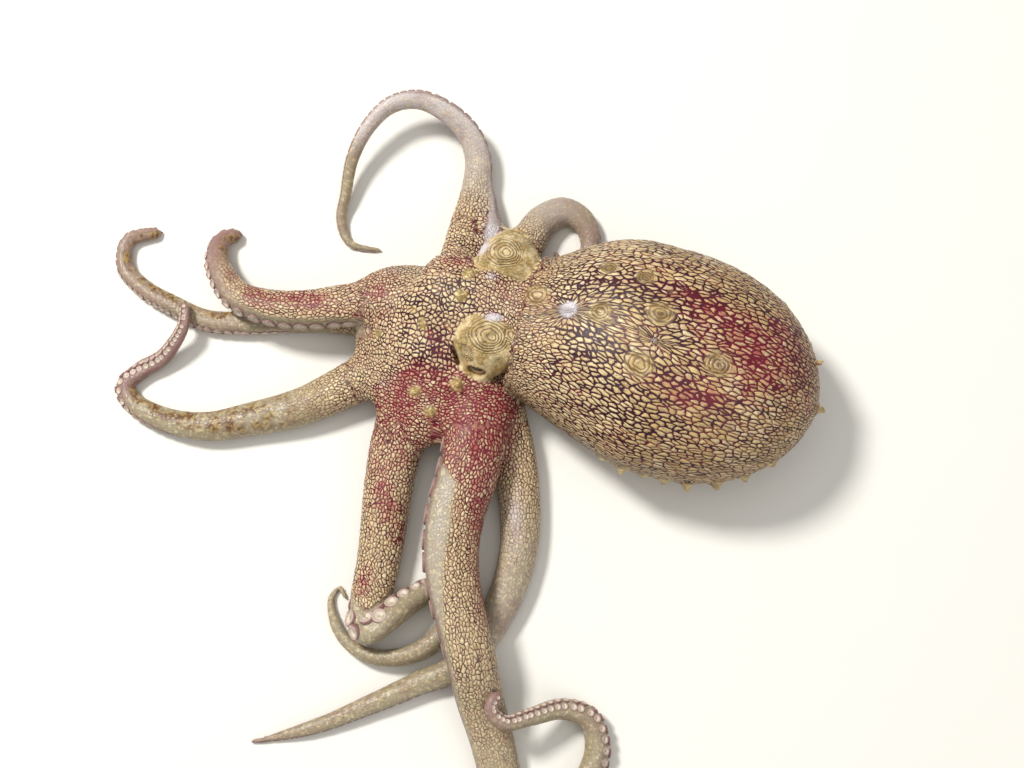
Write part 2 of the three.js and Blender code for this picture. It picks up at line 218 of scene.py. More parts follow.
@dataclass(frozen=True)
class Head:
    """The short barrel between the mantle and the arms, with a bulge round each eye.

    Its middle line runs from `back` to `front` and falls by `drop`; its rounded ends stand
    `end_half` past it. `section` is the power of its oval section, 2 for an ellipse. A bulge and
    the barrel start to run together `bulge_reach` apart.
    """

    back: Pair = (13.5, 28.6)
    front: Pair = (-4.5, 35.2)
    half_width_back: float = 11.6
    half_width_front: float = 8.6
    half_height: float = 7.2
    end_half: float = 7.0
    section: float = 2.3
    z: float = 14.0
    drop: float = 1.2
    bulge_radius: float = 6.25
    bulge_reach: float = 1.6
    bulge_left: Point = (3.3, 24.3, 16.4)
    bulge_right: Point = (7.2, 40.8, 16.4)

    @property
    def along(self) -> Array:
        """The way the head looks, from the neck to the arms."""
        return unit(np.array([self.front[0] - self.back[0], self.front[1] - self.back[1], 0.0]))

    @property
    def right(self) -> Array:
        """The level way out to the animal's right."""
        return np.array([-self.along[1], self.along[0], 0.0]) * -1.0

    def bulge(self, side: Side) -> Array:
        """Centre of the bulge round an eye."""
        return np.array(self.bulge_left if side is Side.LEFT else self.bulge_right)

    def field(self, x: Array, y: Array, z: Array) -> Array:
        """How far points lie outside the head and its bulges."""
        span = math.dist(self.back, self.front)
        dx, dy = x - self.back[0], y - self.back[1]
        t = np.clip((dx * self.along[0] + dy * self.along[1]) / span, 0.0, 1.0)
        past = dx * self.along[0] + dy * self.along[1] - t * span
        a = -dx * self.along[1] + dy * self.along[0]
        b = z - (self.z - self.drop * t)
        wide = self.half_width_back + (self.half_width_front - self.half_width_back) * t
        rho = np.sqrt(a * a + b * b + past * past) + TINY
        power = self.section
        g = (
            np.abs(a / wide) ** power
            + np.abs(b / self.half_height) ** power
            + np.abs(past / self.end_half) ** power
        )
        barrel = rho * (1.0 - 1.0 / np.maximum(g ** (1 / power), LEAST_SOLID))
        for side in Side:
            c = self.bulge(side)
            ball = np.sqrt((x - c[0]) ** 2 + (y - c[1]) ** 2 + (z - c[2]) ** 2) - self.bulge_radius
            barrel = soft_least(barrel, ball, self.bulge_reach)
        return barrel


@dataclass(frozen=True)
class Lump:
    """An egg shape with level axes, as one web between arms or the dome over the mouth."""

    centre: Point
    half: Point

    def field(self, x: Array, y: Array, z: Array) -> Array:
        """How far points lie outside the lump."""
        dx, dy, dz = x - self.centre[0], y - self.centre[1], z - self.centre[2]
        g = np.sqrt((dx / self.half[0]) ** 2 + (dy / self.half[1]) ** 2 + (dz / self.half[2]) ** 2)
        rho = np.sqrt(dx * dx + dy * dy + dz * dz) + TINY
        return rho * (1.0 - 1.0 / np.maximum(g, LEAST_SOLID))


@dataclass(frozen=True)
class Arm:
    """One arm: its widths, its way over the ground, how it is turned, and how it is marked.

    Attributes:
        name: Name of the arm, which its nodes' names start with.
        root: Half width at the root.
        tip: Half width near the tip.
        taper: How the width falls; 1 is even.
        route: Points under the middle of the arm, x, y and how high its underside lies.
        roll: Shares of the length, and how far the back is turned there to the arm's right.
        marked: Shares of the length between which the net of markings fades out.
        stain: How much dark red the root has.
        lilac: How milky lilac the smooth sides are.
        bare: Shares of the length, and how far round to the back the smooth side reaches there.
        mauve: Shares of the length between which the tip turns mauve.
        umber: How brown the stripe along the back of the far part is.
        big_cups: How much wider the suckers are at the arm's fold, as a share of the half width.
    """

    name: str
    root: float
    tip: float
    taper: float
    route: tuple[Point, ...]
    roll: tuple[Pair, ...]
    marked: Pair = (0.5, 0.8)
    stain: float = 0.3
    lilac: float = 0.2
    bare: tuple[Pair, ...] = ((0.0, -0.1),)
    mauve: Pair = (1.1, 1.2)
    umber: float = 0.5
    big_cups: float = 0.0


ARMS = (
    Arm(
        "arm_right_1", 3.4, 1.2, 0.6,
        ((-9, 29.5, 2.6), (-17.5, 32, 0.6), (-28, 32.5, 0), (-38.5, 32.5, 0), (-48, 32, 0),
         (-56, 32.5, 0), (-63.5, 36, 0), (-69.5, 39.5, 0), (-74, 44.5, 0), (-73.5, 50.5, 0),
         (-67, 52.5, 0)),
        ((0, 0), (0.2, 30), (0.4, 60), (0.6, 85), (0.85, 80), (1, 75)),
        marked=(0.1, 0.35), stain=0.2, lilac=0.0, mauve=(0.45, 1.2), umber=0.8,
    ),
    Arm(
        "arm_right_2", 5.4, 1.2, 0.5,
        ((-6.5, 31, 4.6), (-15, 34.3, 5.2), (-24, 34, 5.4), (-33.5, 33, 5.4), (-41.5, 33.5, 5.3),
         (-48.5, 36, 4.8), (-52.5, 41, 3), (-54.5, 46, 1.2), (-53.5, 50.5, 0.2), (-50, 52, 0)),
        ((0, 0), (0.14, 20), (0.26, 66), (0.56, 74), (0.7, 95), (0.85, 112), (1, 116)),
        marked=(0.42, 1.05), stain=0.3, lilac=0.15, mauve=(0.5, 0.95), umber=0.9,
        bare=((0.0, -1.3), (0.12, -1.1), (0.25, -0.4), (0.6, -0.25), (0.75, 0.1), (1, 0.1)),
    ),
    Arm(
        "arm_right_3", 4.6, 1.0, 1.4,
        ((-4.5, 35.5, 3.6), (-3, 44, 3), (-1.5, 52, 1.2), (0.5, 61, 0.2), (1, 67.5, 1.2),
         (-1, 73, 3.4), (-5.5, 77, 5.6), (-11.5, 79.5, 6.8), (-17.5, 78.5, 6.8), (-22.5, 74, 5.8),
         (-26, 67.5, 4), (-27.5, 60.5, 1.8), (-28.5, 55, 0.4), (-26.5, 50, 0), (-20.5, 48.5, 0)),
        ((0, -10), (0.17, -35), (0.34, -55), (0.5, -70), (1, -80)),
        marked=(0.1, 0.42), stain=0.12, lilac=0.75, umber=0.2,
    ),
    Arm(
        "arm_right_4", 5.2, 1.0, 0.85,
        ((0, 33.5, 0.6), (5.2, 39, 0.2), (9, 45, 0), (11.6, 50, 0), (14.6, 54.4, 0), (19, 56.6, 0),
         (23.2, 54.4, 0), (24.8, 49.5, 0), (22.6, 45, 0), (18.6, 44.2, 0), (17.4, 47.6, 0)),
        ((0, -10), (0.3, -20), (0.5, 10), (0.7, 60), (1, 80)),
        marked=(0.2, 0.6), stain=0.0, lilac=0.6, mauve=(0.0, 1.5), umber=0.0,
    ),
    Arm(
        "arm_left_1", 5.2, 1.2, 1.0,
        ((-10, 26, 4), (-18, 22.5, 2.2), (-26.5, 18, 0.8), (-35.5, 14, 0.2), (-46, 11.5, 0),
         (-55, 10, 0), (-64, 11.5, 0), (-71, 15.5, 0), (-72.5, 19, 0), (-69.5, 22, 0.1),
         (-65, 24.5, 1), (-62, 27.5, 2.9), (-60, 31, 4.5), (-60, 35.5, 4.7)),
        ((0, 0), (0.45, 15), (0.6, 60), (0.68, 80), (0.75, 130), (0.82, 170), (1, 180)),
        marked=(0.12, 0.42), stain=0.15, lilac=0.1, mauve=(0.66, 0.76), umber=0.8,
    ),
    Arm(
        "arm_left_2", 6.0, 0.7, 0.85,
        ((-8.5, 23.5, 5), (-13, 13.5, 3), (-16, 3.5, 1), (-17.5, -6.5, 0.4), (-18.8, -17.5, 0.2),
         (-20.6, -25.5, 0.1), (-21.8, -29.6, 1.4), (-20.2, -31, 3.6), (-16.8, -28.8, 3.2),
         (-12.5, -25.4, 1.2), (-8, -23.2, 0.1), (-5, -25.2, 0), (-4.9, -29.6, 0), (-8, -33.8, 0.5),
         (-13.5, -36.4, 1.1), (-20.5, -36.3, 0.7), (-25.5, -33, 0.2), (-28, -28.5, 0),
         (-28.4, -24.6, 0), (-26.8, -22.8, 0), (-25.8, -24.4, 0)),
        ((0, 0), (0.38, 0), (0.44, -60), (0.49, -130), (0.53, -180), (0.6, -180), (0.64, -215),
         (0.69, -260), (0.75, -285), (1, -285)),
        marked=(0.42, 0.52), stain=0.5, lilac=0.1, umber=0.15, big_cups=0.1,
        bare=((0.0, -0.3), (0.4, -0.3), (0.46, 0.1), (1, 0.3)),
    ),
    Arm(
        "arm_left_3", 7.6, 1.2, 0.9,
        ((-4.5, 24, 4), (0.5, 12, 4.4), (-1, 1, 4.7), (-4, -10, 5.1), (-4.5, -19, 5.6),
         (-3, -27.5, 5.9), (-0.5, -36.5, 5.8), (1.5, -45, 2.2), (3.5, -51.5, 0.3), (5.5, -59, 0),
         (8.5, -66.5, 0), (14.5, -71, 0), (20, -68, 0), (23, -61, 0), (25, -54.5, 0.5),
         (23.5, -48.5, 1.4), (18, -46.5, 3.4), (11.5, -48, 6.8), (6.5, -49, 9.0), (4, -46.5, 9.8),
         (5.5, -43.5, 9.8)),
        ((0, 0), (0.06, -25), (0.13, -65), (0.35, -65), (0.45, -50), (0.56, -50), (0.66, -75),
         (0.72, -105), (0.85, -120), (1, -125)),
        marked=(0.16, 0.8), stain=0.85, lilac=0.38, mauve=(0.92, 0.99), umber=0.25,
        bare=((0.0, -1.3), (0.14, -1.2), (0.185, 0.35), (0.24, 0.5), (0.3, 0.25), (0.37, -0.2),
              (0.5, -0.15), (0.7, 0.1), (1, 0.1)),
    ),
    Arm(
        "arm_left_4", 5.4, 0.8, 0.8,
        ((-3.5, 27.5, 2), (4.5, 15, 1.2), (8, 5, 0.4), (9.5, -5.5, 0), (9.5, -13.5, 0), (8, -21, 0),
         (5.0, -28.2, 0), (0.8, -34.8, 0), (-4.6, -39.6, 0), (-10, -41.6, 0), (-15, -43.8, 0),
         (-21.5, -46.5, 0), (-29, -49.5, 0), (-36, -51.5, 0), (-43, -53, 0)),
        ((0, 0), (0.4, 0), (0.55, 30), (0.65, 60), (1, 70)),
        marked=(0.12, 0.6), stain=0.1, lilac=0.5, mauve=(0.85, 1.1), umber=0.3,
        bare=((0.0, 0.0), (0.3, 0.1), (1, 0.1)),
    ),
)

CROWN = Lump((-6.8, 27.6, 6.6), (12.6, 13.1, 10.0))
WEBS = (
    Lump((-14.5, 37.5, 7.2), (8.4, 5.4, 4.2)),
    Lump((4.2, 46.0, 4.2), (4.6, 5.4, 3.1)),
    Lump((2.6, 52.0, 3.2), (2.9, 8.0, 2.2)),
    Lump((-17.5, 28.0, 5.8), (6.0, 5.6, 4.2)),
    Lump((-14.5, 18.5, 6.2), (5.6, 6.0, 4.6)),
    Lump((-8.5, 14.0, 7.6), (5.6, 8.4, 5.0)),
    Lump((5.2, 16.5, 6.8), (4.2, 7.0, 4.2)),
)
SIPHON_ROUTE = ((13.0, 26.5, 0.9), (7.5, 26.0, 0.4), (2.5, 24.5, 0.0), (-0.8, 22.4, 0.0))
SIPHON_RADII = (4.0, 2.1)
# How the siphon narrows, how high its middle lies in its width, and how flat it is; then the
# thickness of its wall, how deep its open end is, and how far it and the body run together.
SIPHON_NARROWING, SIPHON_LIFT, SIPHON_FLAT = 0.8, 0.82, 0.9
SIPHON_WALL, SIPHON_DEPTH, SIPHON_REACH, SIPHON_PAD = 0.75, 3.0, 0.8, 8

MANTLE = Mantle()
HEAD = Head()

# An arm's height as a share of its width, how much of that is pressed away on the ground, the step
# of its samples and its least half width.
ARM_HEIGHT = 0.84
ARM_PRESS = 0.1
LINE_STEP = 0.5
ARM_LEAST = 0.55
# How blunt an arm's end is; how thin the end of a thread-like arm is, and how long that end is.
END_SHARE = 0.3
THREAD_SHARE, THREAD_RUN = 0.62, 11.0
# How much flatter an arm is on its sucker side, and where round it that starts and is whole.
FLATTER = 0.26
FLAT_SIDE = (0.35, 0.95)


@dataclass(frozen=True)
class EyePlan:
    """Size and place of an eyeball and its lids, from its bulge's centre.

    The eye looks `upward` and `backward` to 1 out of the head. `opening` is half the length and
    height of the gap between the lids, `lid` is their thickness, and a raised rim runs `rim_at`
    outside the gap. The `reach` of a part is how far off it starts to run into the one below.
    """

    radius: float = 3.6
    outward: float = 3.0
    forward: float = 0.3
    drop: float = 1.0
    opening: Pair = (1.85, 1.2)
    upward: float = 0.66
    backward: float = 0.06
    lid: float = 0.62
    lid_reach: float = 1.2
    rim_at: float = 0.45
    rim_half: float = 0.3
    rim_rise: float = 0.42
    rim_reach: float = 0.5
    edge: float = 0.35
    clearance: float = 0.02

    def centre(self, side: Side) -> Array:
        """Centre of the eyeball."""
        out = self.out(side)
        return HEAD.bulge(side) + self.outward * out + self.forward * HEAD.along - self.drop * UP

    def out(self, side: Side) -> Array:
        """The level way out of the head on this side."""
        right = np.array([HEAD.along[1], -HEAD.along[0], 0.0])
        return right if side is Side.RIGHT else -right

    def gaze(self, side: Side) -> Array:
        """The way the eye looks: out and up."""
        return unit(self.out(side) + self.upward * UP - self.backward * HEAD.along)


UP = np.array([0.0, 0.0, 1.0])
EYE = EyePlan()


# ---- Lines -----------------------------------------------------------------------------------


def centripetal_curve(points: Array, per_span: int = 60) -> Array:
    """Dense points along a centripetal Catmull-Rom curve through some points."""
    ends = [2 * points[0] - points[1], *points, 2 * points[-1] - points[-2]]
    share = np.linspace(0.0, 1.0, per_span, endpoint=False)[:, None]
    rows = []
    for p0, p1, p2, p3 in zip(ends, ends[1:], ends[2:], ends[3:]):
        d0, d1, d2 = (math.sqrt(np.linalg.norm(b - a)) for a, b in ((p0, p1), (p1, p2), (p2, p3)))
        t1 = ((p1 - p0) / d0 - (p2 - p0) / (d0 + d1) + (p2 - p1) / d1) * d1
        t2 = ((p2 - p1) / d1 - (p3 - p1) / (d1 + d2) + (p3 - p2) / d2) * d1
        rows.append(
            p1
            + t1 * share
            + (-3 * p1 + 3 * p2 - 2 * t1 - t2) * share**2
            + (2 * p1 - 2 * p2 + t1 + t2) * share**3
        )
    return np.vstack([*rows, points[-1][None]])


def evenly(points: Array, step: float) -> tuple[Array, Array]:
    """Points at an even step along a dense line, and how far along each lies."""
    runs = np.concatenate([[0.0], np.cumsum(np.linalg.norm(np.diff(points, axis=0), axis=1))])
    count = max(int(round(runs[-1] / step)), 2)
    at = np.linspace(0.0, runs[-1], count + 1)
    return np.stack([np.interp(at, runs, points[:, k]) for k in range(3)], axis=1), at


class ArmLine:
    """The middle line of an arm, with its widths and the way its side and its back face."""

    def __init__(self, arm: Arm) -> None:
        """Works the line out.

        Args:
            arm: The arm to follow.
        """
        self.arm = arm
        ground = centripetal_curve(np.array(arm.route, float))
        ground, at = evenly(ground, LINE_STEP)
        self.length = float(at[-1])
        share = at / self.length
        taper = arm.tip + (arm.root - arm.tip) * (1.0 - share) ** arm.taper
        left = self.length - at
        end = np.where(left < arm.tip, np.sqrt(np.clip(1 - (1 - left / arm.tip) ** 2, 0, 1)), 1.0)
        thread = THREAD_SHARE + (1 - THREAD_SHARE) * smooth_step(left, 0.0, THREAD_RUN)
        fine = 1.0 if arm.tip > 1 else thread
        self.half_width = np.maximum(taper * np.maximum(end, END_SHARE) * fine, ARM_LEAST)
        middle = ground.copy()
        middle[:, 2] = np.maximum(ground[:, 2], 0) + self.half_width * ARM_HEIGHT * (1 - ARM_PRESS)
        self.points, self.at, self.share = middle, at, share
        self.tangent = unit(np.gradient(middle, axis=0))
        self.side, self.up = self._carried()
        roll = np.radians(np.interp(share, *zip(*arm.roll)))[:, None]
        self.back = self.up * np.cos(roll) + self.side * np.sin(roll)
        self.right = self.side * np.cos(roll) - self.up * np.sin(roll)

    def _carried(self) -> tuple[Array, Array]:
        """The side and upward directions, carried along the line without twisting."""
        sides = [unit(np.cross(self.tangent[0], UP))]
        for before, after in zip(self.tangent, self.tangent[1:]):
            axis = np.cross(before, after)
            turn = math.atan2(float(np.linalg.norm(axis)), float(before @ after))
            side = sides[-1]
            if turn > TINIEST:
                k = unit(axis)
                side = (
                    side * math.cos(turn)
                    + np.cross(k, side) * math.sin(turn)
                    + k * (k @ side) * (1 - math.cos(turn))
                )
            sides.append(unit(side - after * (side @ after)))
        side = np.array(sides)
        return side, np.cross(side, self.tangent)

    def local(self, points: Array, nearest: Array) -> tuple[Array, Array, Array, Array]:
        """Where points lie in the section of a line at its nearest samples.

        Args:
            points: The points, one a row.
            nearest: The index of each one's sample.

        Returns:
            How far past the sample, and how far towards the side, upward and out from the line.
        """
        d = points - self.points[nearest]
        past = np.einsum("ij,ij->i", d, self.tangent[nearest])
        a = np.einsum("ij,ij->i", d, self.side[nearest])
        b = np.einsum("ij,ij->i", d, self.up[nearest])
        return past, a, b, np.sqrt(a * a + b * b)

    def radial(self, nearest: Array, a: Array, b: Array) -> Array:
        """How far the skin lies from the line, in the directions (a, b) of a section."""
        rho = np.sqrt(a * a + b * b) + TINIEST
        wide = self.half_width[nearest]
        oval = np.sqrt((a / wide) ** 2 + (b / (wide * ARM_HEIGHT)) ** 2) + TINIEST
        back = self.back[nearest]
        side, up = self.side[nearest], self.up[nearest]
        c = np.einsum("ij,ij->i", side, back) * a / rho + np.einsum("ij,ij->i", up, back) * b / rho
        flat = 1.0 - FLATTER * smooth_step(-c, *FLAT_SIDE)
        return rho / oval * flat

    def field(self, points: Array, first: int, last: int) -> Array:
        """How far points lie outside the stretch of the arm between two samples."""
        line = self.points[first:last]
        gap = (
            (points**2).sum(1)[:, None] - 2 * points @ line.T + (line**2).sum(1)[None]
        )
        nearest = gap.argmin(1) + first
        past, a, b, rho = self.local(points, nearest)
        over = np.maximum(np.abs(past) - LINE_STEP * 0.5, 0.0)
        out = np.sqrt(rho * rho + over * over)
        return out - self.radial(nearest, a, b)


# ---- The body as a field in space ------------------------------------------------------------


class Block:
    """A block of space that holds, at each point of a fine grid, how far it is outside the body."""

    FAR = 9.0
    BAND = 3.0

    def __init__(self, low: Sequence[float], high: Sequence[float], step: float) -> None:
        """Makes an empty block.

        Args:
            low: Lowest corner.
            high: Highest corner.
            step: Distance between the points.
        """
        self.low = np.array(low, float)
        self.step = step
        count = np.ceil((np.array(high) - self.low) / step).astype(int) + 1
        self.axes = [
            (self.low[k] + step * np.arange(count[k])).astype(np.float32) for k in range(3)
        ]
        self.value = np.full(tuple(count), self.FAR, np.float32)

    def window(self, low: Array, high: Array) -> tuple[slice, slice, slice]:
        """The part of the grid between two corners."""
        cuts = []
        for k in range(3):
            size = self.value.shape[k]
            first = int(np.clip((low[k] - self.low[k]) // self.step, 0, size))
            last = int(np.clip((high[k] - self.low[k]) // self.step + 2, 0, size))
            cuts.append(slice(first, last))
        return tuple(cuts)

    def grid(self, cut: tuple[slice, slice, slice]) -> tuple[Array, Array, Array]:
        """The coordinates of a part of the grid, ready to be spread against each other."""
        x, y, z = (axis[c] for axis, c in zip(self.axes, cut))
        return x[:, None, None], y[None, :, None], z[None, None, :]

    def everywhere(self) -> tuple[Array, Array, Array]:
        """The coordinates of the whole grid."""
        return self.grid((slice(None),) * 3)

    def add(
        self,
        shape: Callable[[Array, Array, Array], Array],
        low: Array,
        high: Array,
        reach: Callable[[Array, Array, Array], Array] | float,
    ) -> None:
        """Joins a shape to the body between two corners.

        Args:
            shape: How far points lie outside the shape.
            low: Lowest corner of the part of space that it can touch.
            high: Highest corner.
            reach: How far off the two surfaces start to run together.
        """
        cut = self.window(low, high)
        xyz = self.grid(cut)
        k = reach(*xyz) if callable(reach) else reach
        self.value[cut] = soft_least(self.value[cut], shape(*xyz).astype(np.float32), k)

    def surface(self) -> tuple[Array, Array]:
        """The skin of the body: points, and faces of four corners."""
        grid = openvdb.FloatGrid(self.BAND)
        band = np.clip(self.value / self.step, -self.BAND, self.BAND)
        grid.copyFromArray(band, tolerance=0.0)
        points, quads = grid.convertToQuads(isovalue=0.0)
        return points.astype(np.float64) * self.step + self.low, quads


ROOT_ENDS = (13.0, 31.0)
ROOT_REACH, FREE_REACH = 4.6, 0.35


def wider_above(
    least: float, rise: float, levels: tuple[int, int]
) -> Callable[[Array, Array, Array], Array]:
    """How far two shapes run together: little near the ground, and more above it.

    Args:
        least: The reach at the ground.
        rise: How much more it is above.
        levels: Heights between which it grows.

    Returns:
        The reach as a function of place.
    """
    return lambda x, y, z: least + rise * smooth_step(z + 0 * x + 0 * y, *levels)


def near_mouth(x: Array, y: Array, z: Array) -> Array:
    """How far the arms run together: much near the mouth, hardly at all on their free lengths."""
    off = np.sqrt((x - CROWN.centre[0]) ** 2 + (y - CROWN.centre[1]) ** 2) + 0 * z
    return FREE_REACH + ROOT_REACH * (1.0 - smooth_step(off, *ROOT_ENDS))


@dataclass(frozen=True)
class Papilla:
    """A raised point of skin: a bump with a peak, given where it stands and how it leans."""

    at: Point
    height: float
    width: float
    lean: Point = (0.0, 0.0, 1.0)
    narrowing: float = 0.68

    def field(self, x: Array, y: Array, z: Array) -> Array:
        """How far points lie outside the papilla, a drop that narrows to its peak."""
        way = unit(np.array(self.lean))
        dx, dy, dz = x - self.at[0], y - self.at[1], z - self.at[2]
        s = dx * way[0] + dy * way[1] + dz * way[2]
        t = np.clip(s / self.height, 0.0, 1.0)
        aside = np.maximum(dx * dx + dy * dy + dz * dz - s * s, 0.0)
        off = np.sqrt(aside + (s - t * self.height) ** 2)
        return off - self.width * (1.0 - self.narrowing * t)

    def round_it(self, pad: float) -> tuple[Array, Array]:
        """Two corners of the space round it."""
        return np.array(self.at) - pad, np.array(self.at) + pad


# The points along the mantle's left margin: how far behind the neck, height and width.
MARGIN_POINTS = (
    (21.0, 0.9, 1.0), (25.0, 1.6, 1.4), (29.5, 1.0, 1.2), (33.5, 1.3, 1.2), (38.0, 2.2, 1.5),
    (43.5, 1.9, 1.7), (48.5, 1.4, 1.3), (53.0, 0.9, 1.0),
)
MARGIN_Z, MARGIN_SUNK = 14.0, 0.5
MARGIN_LEAN, MARGIN_LEAN_TAIL = 0.25, 0.6
# The small points on the rear flanks: how far behind the neck, side and height above the ground.
FLANK_POINTS = (
    (50.0, 1.0, 12.0), (54.0, 1.0, 15.0), (56.5, 1.0, 19.0), (57.5, -0.6, 20.0), (47.0, 1.0, 17.0),
)
FLANK_SIZE, FLANK_SUNK = (0.7, 0.6), 0.9
FLANK_LEAN, FLANK_LEAN_TAIL = 0.4, 0.8
TAIL_POINT_Z, TAIL_POINT_SUNK, TAIL_POINT_SIZE = 13.6, 1.6, (3.0, 1.5)


def edge_papillae() -> tuple[Papilla, ...]:
    """The pale points along the lower margin of the mantle and at its tail."""
    rows = []
    tail_run = MANTLE.length - MANTLE.widest_at
    for behind, height, width in MARGIN_POINTS:
        side = -1.0
        u = max((behind - MANTLE.widest_at) / tail_run, 0.0)
        front = max(1.0 - behind / MANTLE.widest_at, 0.0) ** 2
        narrower = (MANTLE.half_width - MANTLE.neck_half_width) * front
        wide = (MANTLE.half_width - narrower) * MANTLE.closing(u)
        sway = MANTLE.sway * max(0.0, math.sin(math.pi * min(behind / MANTLE.sway_run, 1)))
        out = side * (wide - MARGIN_SUNK) + sway
        at = np.array([*MANTLE.neck, MARGIN_Z]) + MANTLE.along * behind + MANTLE.across * out
        lean = MANTLE.across * side + MANTLE.along * (MARGIN_LEAN + MARGIN_LEAN_TAIL * u * u)
        rows.append(Papilla(tuple(at), height, width, tuple(lean)))
    for behind, side, lift in FLANK_POINTS:
        u = (behind - MANTLE.widest_at) / tail_run
        wide = MANTLE.half_width * MANTLE.closing(u)
        at = np.array([*MANTLE.neck, lift]) + MANTLE.along * behind
        at = at + MANTLE.across * side * (wide - FLANK_SUNK)
        lean = MANTLE.across * side + MANTLE.along * (FLANK_LEAN + FLANK_LEAN_TAIL * u * u)
        rows.append(Papilla(tuple(at), *FLANK_SIZE, tuple(lean)))
    tail = np.array([*MANTLE.neck, TAIL_POINT_Z])
    tail = tail + MANTLE.along * (MANTLE.length - TAIL_POINT_SUNK)
    rows.append(Papilla(tuple(tail), *TAIL_POINT_SIZE, tuple(MANTLE.along)))
    return tuple(rows)


CROWN_PAPILLAE = (
    (-7.8, 40.5, 11.0), (-2.1, 33.1, 20.2), (-9.5, 28.4, 16.9), (-4.3, 27.9, 17.6),
    (-0.5, 37.5, 19.8), (-7.4, 32.4, 16.9), (-10.8, 31.3, 16.2), (-3.0, 16.1, 16.6),
    (-18.6, 27.6, 10.9), (-8.3, 11.3, 13.3), (-11.1, 15.3, 13.6),
)
CROWN_POINT_SIZE, CROWN_POINT_LEAN, CROWN_POINT_SUNK = (1.6, 1.25), (0.25, -0.2, 1.0), 0.9
# The small points beside each: which way, height and width; and how far off, sunk and leaning.
SIDE_POINTS = ((0.6, 1.1, 0.75), (2.7, 0.8, 0.9), (4.5, 1.0, 0.65))
SIDE_POINT_OFF, SIDE_POINT_SUNK, SIDE_POINT_LEAN = 1.35, 1.1, 0.4
SIDE_POINT_TURN = 1.9


@dataclass(frozen=True)
class Fold:
    """A round papilla of fine rings, lying almost flat in the skin."""

    at: Point
    radius: float
    skew: float = 0.1


FOLDS = (
    Fold((24.9, 27.3, 29.4), 2.3), Fold((36.1, 26.3, 32.0), 2.6), Fold((32.0, 16.6, 31.2), 2.7),
    Fold((47.0, 16.5, 30.8), 2.6), Fold((13.3, 32.3, 22.6), 2.6), Fold((33.8, 34.1, 29.6), 1.9),
    Fold((26.9, 36.8, 26.8), 1.9), Fold((4.3, 23.9, 22.5), 3.4, 0.3),
    Fold((7.2, 41.1, 22.7), 3.2, 0.3), Fold((-0.6, 21.6, 19.6), 1.7),
    Fold((7.6, 24.6, 20.6), 1.9),
)
FOLD_LEAN = unit(np.array([-0.7, 0.7, 0.0]))

CELL = 0.92
MAPS_APART = 300.0

STARS = (((18.9, 28.6, 26.6), 5.2), ((34.6, 21.2, 32.2), 2.4))


@dataclass(frozen=True)
class Crease:
    """The sunk line round the outer half of an eye bulge, `off` its surface and `half` wide."""

    pad: float = 11
    upward: float = 0.25
    half: float = 0.58
    outer: Pair = (0.25, 0.75)
    fading: float = 0.1
    off: float = 0.7
    edge: float = 0.9


@dataclass(frozen=True)
class Slit:
    """The slit under the mantle's edge, given from the head's surface and the mantle's neck."""

    space: tuple[Point, Point] = ((4.0, 8.0, 0.0), (24.0, 52.0, 18.0))
    off: float = 0.75
    half: float = 0.5
    behind: float = 2.6
    before: float = 1.5
    top: float = 14.5
    edge: float = 0.3


@dataclass(frozen=True)
class Mouth:
    """The shallow hollow round the mouth, under the crown."""

    space: tuple[Point, Point] = ((-16.0, 18.0, -2.0), (3.0, 37.0, 3.0))
    high: float = 1.4
    curve: float = 0.02
    radius: float = 7.5
    rim: float = 1.0
    edge: float = 0.8


@dataclass(frozen=True)
class Ground:
    """How near the flat underside comes to the ground, and how round its edge is."""

    gap: float = 0.08
    edge: float = 0.5


CREASE, SLIT, MOUTH, GROUND = Crease(), Slit(), Mouth(), Ground()
EYE_PAD = 7


